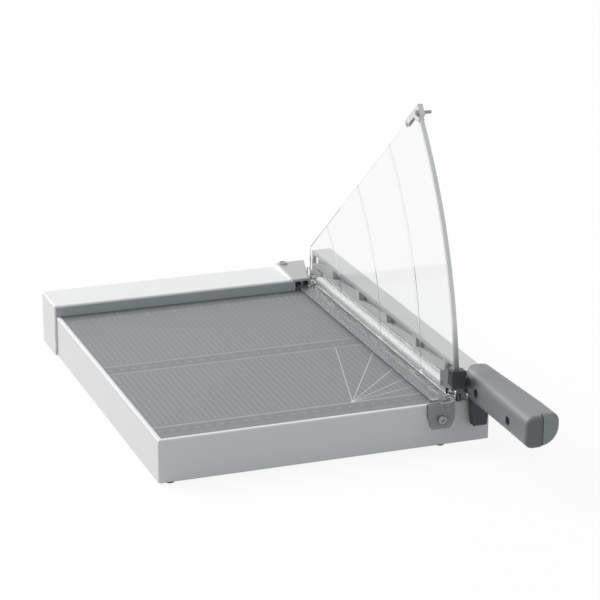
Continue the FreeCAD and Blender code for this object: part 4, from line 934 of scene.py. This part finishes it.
@dataclass
class Numerals:
    """The printed numbers of the rulers, as thin ink on the mat."""

    palette: Palette
    lift: float = 0.04 * MM
    metric_size: float = 4.6 * MM
    inch_size: float = 6.2 * MM
    metric_rows: Tuple[float, ...] = (18.4, 163.0)
    inch_row: float = 306.0
    centimetres: int = 25
    inches_shown: int = 9

    def _number(self, count: int, size: float, back: float, row: float, into: bmesh.types.BMesh) -> None:
        """Adds one number to a mesh.

        Args:
            count: The number.
            size: The digits' size in metres.
            back: How far its middle is from the cutting line, in millimetres.
            row: How far its middle is from the housing's front face, in millimetres.
            into: The mesh that it joins.
        """
        curve = bpy.data.curves.new("digits", "FONT")
        curve.body = str(count)
        curve.size = size
        curve.align_x = "CENTER"
        curve.align_y = "CENTER"
        curve.resolution_u = 2
        holder = bpy.data.objects.new("digits", curve)
        bpy.context.scene.collection.objects.link(holder)
        bpy.context.view_layer.update()
        flat = bpy.data.meshes.new_from_object(holder.evaluated_get(bpy.context.evaluated_depsgraph_get()))
        bpy.data.objects.remove(holder)
        bpy.data.curves.remove(curve)
        middle = (Datum.across(back), Datum.along(row), Datum.table_z + self.lift)
        flat.transform(Matrix.Translation(middle))
        into.from_mesh(flat)
        bpy.data.meshes.remove(flat)

    def metric(self) -> Piece:
        """Returns the two rows of centimetre numbers."""
        mesh = bmesh.new()
        for row in self.metric_rows:
            for count in range(1, 1 + self.centimetres):
                self._number(count, self.metric_size, count * 10.0, row, mesh)
        return new_piece("metric_numerals", mesh, "base", self.palette.get(Finish.INK))

    def inches(self) -> Piece:
        """Returns the row of inch numbers below the fence."""
        mesh = bmesh.new()
        for count in range(1, 1 + self.inches_shown):
            self._number(count, self.inch_size, count * INCH, self.inch_row, mesh)
        return new_piece("inch_numerals", mesh, "base", self.palette.get(Finish.FAINT_INK))

    def build(self) -> List[Piece]:
        """Returns all rows of numbers."""
        return [self.metric(), self.inches()]


@dataclass
class ClampTrim:
    """A skin with a painted highlight over the clamp's ridge, and a painted shadow along the lower edge of
    its flange.
    """

    palette: Palette
    low: Vector = field(default_factory=lambda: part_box("clamp_bar")[0])
    high: Vector = field(default_factory=lambda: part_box("clamp_bar")[1])
    flange: float = 2.3 * MM
    ridge_width: float = 7.2 * MM
    ridge_round: float = 2.4 * MM
    top_inset: float = 0.4 * MM
    tail: float = 20.0 * MM
    proud: float = 0.06 * MM
    nose_start: float = 6.0 * MM
    nose_end: float = 22.0 * MM
    edge_height: float = 1.1 * MM
    edge_inset: float = 6.0 * MM
    softness: float = 0.02 * MM

    def ridge_edge(self) -> Piece:
        """Builds the skin that carries the painted highlight over the ridge's left face, its rounding and its
        top.

        Returns:
            The skin.
        """
        x = self.high.x - self.ridge_width
        z = self.high.z - self.ridge_round
        start, end = self.low.y, self.high.y - self.tail
        mesh = bmesh.new()
        first = mesh.verts.new((x - self.proud, start, z))
        bmesh.ops.spin(mesh, geom=[first], cent=(x + self.ridge_round, start, z), axis=(0.0, 1.0, 0.0),
                       angle=math.pi / 2, steps=8, use_merge=False, use_duplicate=False)
        last = max(mesh.verts, key=lambda v: v.co.z)
        top = bmesh.ops.extrude_vert_indiv(mesh, verts=[last])["verts"]
        run = self.ridge_width - self.ridge_round - self.top_inset
        bmesh.ops.translate(mesh, verts=top, vec=(run, 0.0, 0.0))
        foot = bmesh.ops.extrude_vert_indiv(mesh, verts=[first])["verts"]
        bmesh.ops.translate(mesh, verts=foot, vec=(0.0, 0.0, self.low.z + self.flange + 4 * self.proud - z))
        swept = bmesh.ops.extrude_edge_only(mesh, edges=mesh.edges[:])["geom"]
        moved = [v for v in swept if isinstance(v, bmesh.types.BMVert)]
        bmesh.ops.translate(mesh, verts=moved, vec=(0.0, end - start, 0.0))
        bmesh.ops.remove_doubles(mesh, verts=mesh.verts[:], dist=WELD)
        rise = self.high.z - self.low.z - self.flange
        slope = Vector((0.0, -rise, self.nose_end - self.nose_start)).normalized()
        bmesh.ops.bisect_plane(mesh, geom=mesh.verts[:] + mesh.edges[:] + mesh.faces[:], dist=WELD / 10,
                               plane_co=(x, Datum.front_y + self.nose_start, self.low.z + self.flange),
                               plane_no=slope, clear_outer=True)
        bmesh.ops.recalc_face_normals(mesh, faces=mesh.faces[:])
        if sum(f.normal.x * f.calc_area() for f in mesh.faces) > 0:
            bmesh.ops.reverse_faces(mesh, faces=mesh.faces[:])
        bmesh.ops.solidify(mesh, geom=mesh.faces[:], thickness=self.proud * 0.8)
        return new_piece("clamp_ridge_highlight", mesh, "clamp", self.palette.get(Finish.FROST))

    def flange_edge(self) -> Piece:
        """Builds the painted shadow: a dark line along the flange's lower left edge, where the gap under the
        flange lies in shade.

        Returns:
            The strip.
        """
        length = self.high.y - self.tail - self.low.y - 2 * self.edge_inset
        middle = (self.low.y + self.high.y - self.tail) / 2
        mesh = bmesh.new()
        bmesh.ops.create_cube(mesh, size=1.0)
        bmesh.ops.scale(mesh, verts=mesh.verts[:], vec=(2 * self.proud, length, self.edge_height))
        bmesh.ops.bevel(mesh, geom=mesh.edges[:], offset=self.softness, offset_type="OFFSET", segments=2,
                        profile=0.5, affect="EDGES", material=-1, clamp_overlap=True)
        place = (self.low.x, middle, self.low.z + self.edge_height / 2)
        bmesh.ops.translate(mesh, verts=mesh.verts[:], vec=place)
        return new_piece("clamp_flange_shadow", mesh, "clamp", self.palette.get(Finish.SEAM))

    def build(self) -> List[Piece]:
        """Returns both pieces."""
        return [self.ridge_edge(), self.flange_edge()]


@dataclass
class StripTip:
    """The last stretch of the guard's edge strip, which laps over the tip clip up to the stop pin."""

    palette: Palette
    depth: float = 3.2 * MM
    proud: float = 0.2 * MM
    gap: float = 0.04 * MM
    softness: float = 0.15 * MM
    steps: int = 4

    def build(self) -> List[Piece]:
        """Builds the stretch.

        Returns:
            The piece, in a list.
        """
        strip_low, strip_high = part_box("guard_edge_strip")
        clip_low, clip_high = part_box("guard_tip_clip")
        pin_low, pin_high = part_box("guard_stop_pin")
        outer = math.hypot(strip_low.y - Datum.pivot_y, strip_low.z - Datum.pivot_z)
        first = math.asin((strip_high.z - Datum.pivot_z) / outer) + self.gap / outer
        pin = (pin_low + pin_high) / 2
        last = math.atan2(pin.z - Datum.pivot_z, Datum.pivot_y - pin.y)
        mesh = bmesh.new()
        bmesh.ops.create_grid(mesh, x_segments=1, y_segments=1, size=0.5)
        width = clip_high.x - clip_low.x + 2 * self.proud
        bmesh.ops.scale(mesh, verts=mesh.verts[:], vec=(width, self.depth, 1.0))
        middle = ((clip_low.x + clip_high.x) / 2, Datum.pivot_y - outer + self.depth / 2, Datum.pivot_z)
        bmesh.ops.translate(mesh, verts=mesh.verts[:], vec=middle)
        centre = (0.0, Datum.pivot_y, Datum.pivot_z)
        bmesh.ops.rotate(mesh, verts=mesh.verts[:], cent=centre, matrix=Matrix.Rotation(-first, 3, "X"))
        bmesh.ops.spin(mesh, geom=mesh.verts[:] + mesh.edges[:] + mesh.faces[:], cent=centre,
                       axis=(1.0, 0.0, 0.0), angle=first - last, steps=self.steps, use_merge=False,
                       use_duplicate=False)
        bmesh.ops.remove_doubles(mesh, verts=mesh.verts[:], dist=WELD)
        bmesh.ops.recalc_face_normals(mesh, faces=mesh.faces[:])
        sharp = [e for e in mesh.edges if len(e.link_faces) == 2 and e.calc_face_angle() > 1.0]
        bmesh.ops.bevel(mesh, geom=sharp, offset=self.softness, offset_type="OFFSET", segments=2, profile=0.5,
                        affect="EDGES", material=-1, clamp_overlap=True)
        return [new_piece("edge_strip_tip", mesh, "base", self.palette.get(Finish.STRIP))]


@dataclass
class Stage:
    """The pale floor, the surroundings and the lamps."""

    floor_size: float = 14.0
    lamp_power: float = 308.0
    lamp_distance: float = 6.0
    lamp_size: float = 3.8
    floor_glow: float = 0.9
    floor_colour: Colour = (0.97, 0.97, 0.97)
    floor_bounce: Colour = (0.36, 0.36, 0.36)
    lamp_direction: Triple = (-0.545, 0.5, 0.675)
    rear_power: float = 12.0
    rear_size: float = 1.3
    rear_direction: Triple = (-0.31, 0.89, 0.33)
    front_power: float = 46.0
    front_size: float = 3.0
    front_direction: Triple = (0.12, -0.93, 0.33)
    front_colour: Colour = (0.86, 1.0, 1.03)
    surround: float = 0.36

    def floor(self) -> None:
        """Lays the floor."""
        mesh = bmesh.new()
        bmesh.ops.create_grid(mesh, x_segments=4, y_segments=4, size=self.floor_size / 2)
        data = bpy.data.meshes.new("floor")
        mesh.to_mesh(data)
        mesh.free()
        thing = bpy.data.objects.new("floor", data)
        bpy.context.scene.collection.objects.link(thing)
        w, shader, output = begin("pale_floor")
        seen = w.seen()
        w.feed(shader, Base_Color=w.mix(seen, self.floor_bounce, self.floor_colour), Roughness=0.9,
               Specular_IOR_Level=0.1)
        w.blend(output, w.times(seen, self.floor_glow), shader, w.add("ShaderNodeEmission"))
        data.materials.append(material_of(w))

    def world(self) -> None:
        """Sets the surroundings: white to the eye, plain soft light to the object."""
        world = bpy.data.worlds.new("surroundings")
        bpy.context.scene.world = world
        world.use_nodes = True
        world.node_tree.nodes.clear()
        w = Wiring(world.node_tree)
        strength = w.plus(self.surround, w.times(w.seen(), 1.0 - self.surround))
        sky = w.feed(w.add("ShaderNodeBackground"), Color=(*WHITE, 1.0), Strength=strength)
        w.feed(w.add("ShaderNodeOutputWorld"), Surface=sky.outputs["Background"])

    def lamp(self, name: str, towards: Sequence[float], power: float, size: float, colour: Colour = WHITE
             ) -> None:
        """Hangs one soft square lamp.

        Args:
            name: The lamp's name.
            towards: The direction in which it hangs, seen from the trimmer.
            power: Its power in watts.
            size: Its side in metres.
            colour: Its colour.
        """
        light = bpy.data.lights.new(name, "AREA")
        light.energy = power
        light.color = colour
        light.size = size
        holder = bpy.data.objects.new(name, light)
        direction = Vector(towards).normalized()
        holder.location = direction * self.lamp_distance
        holder.rotation_euler = direction.to_track_quat("Z", "Y").to_euler()
        bpy.context.scene.collection.objects.link(holder)

    def build(self) -> None:
        """Builds the floor, the surroundings and the lamps."""
        self.floor()
        self.world()
        self.lamp("soft_lamp", self.lamp_direction, self.lamp_power, self.lamp_size)
        self.lamp("rear_lamp", self.rear_direction, self.rear_power, self.rear_size)
        self.lamp("front_lamp", self.front_direction, self.front_power, self.front_size, self.front_colour)


@dataclass
class Viewpoint:
    """The camera at the photograph's angle."""

    place: Triple = (-0.616025, -1.71185, 0.7139)
    yaw: float = 20.34
    pitch: float = 18.64
    roll: float = 0.25
    lens: float = 138.06
    sensor: float = 36.0
    sight: float = 50.0

    def build(self) -> None:
        """Places the camera and makes it the scene's."""
        yaw, pitch, roll = (math.radians(a) for a in (self.yaw, self.pitch, self.roll))
        ahead = Vector((math.sin(yaw) * math.cos(pitch), math.cos(yaw) * math.cos(pitch), -math.sin(pitch)))
        level = Vector((math.cos(yaw), -math.sin(yaw), 0.0))
        upward = level.cross(ahead)
        side = level * math.cos(roll) + upward * math.sin(roll)
        top = side.cross(ahead)
        data = bpy.data.cameras.new("viewpoint")
        data.lens = self.lens
        data.sensor_width = self.sensor
        data.clip_end = self.sight
        camera = bpy.data.objects.new("viewpoint", data)
        turn = Matrix((side, top, -ahead)).transposed().to_4x4()
        camera.matrix_world = Matrix.Translation(self.place) @ turn
        bpy.context.scene.collection.objects.link(camera)
        bpy.context.scene.camera = camera


@dataclass
class CarriedSolids:
    """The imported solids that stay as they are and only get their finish."""

    palette: Palette
    nodes: Dict[str, Piece] = field(default_factory=dict)

    def dress(self) -> None:
        """Gives every node its finish and reports any that has none."""
        for finish, names in NODE_FINISH.items():
            for name in names:
                self.palette.dress(self.nodes[name], finish)
        dressed = {name for names in NODE_FINISH.values() for name in names}
        missing = sorted(set(self.nodes) - dressed)
        if missing:
            raise ValueError(f"nodes without a finish: {missing}")
        LOG.info("dressed %d nodes", len(dressed))


def main() -> None:
    """Builds everything in order."""
    logging.basicConfig(level=logging.INFO, format="%(name)s: %(message)s")
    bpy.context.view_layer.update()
    bpy.context.scene.view_settings.view_transform = "Standard"
    palette = Palette(Effects())
    CarriedSolids(palette, dict(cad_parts)).dress()
    for maker in (Numerals(palette), ClampTrim(palette), StripTip(palette)):
        for piece in maker.build():
            LOG.info("%s: %d faces", piece.name, len(piece.data.polygons))
    Stage().build()
    Viewpoint().build()
    bpy.context.view_layer.update()


if __name__ == "__main__":
    main()
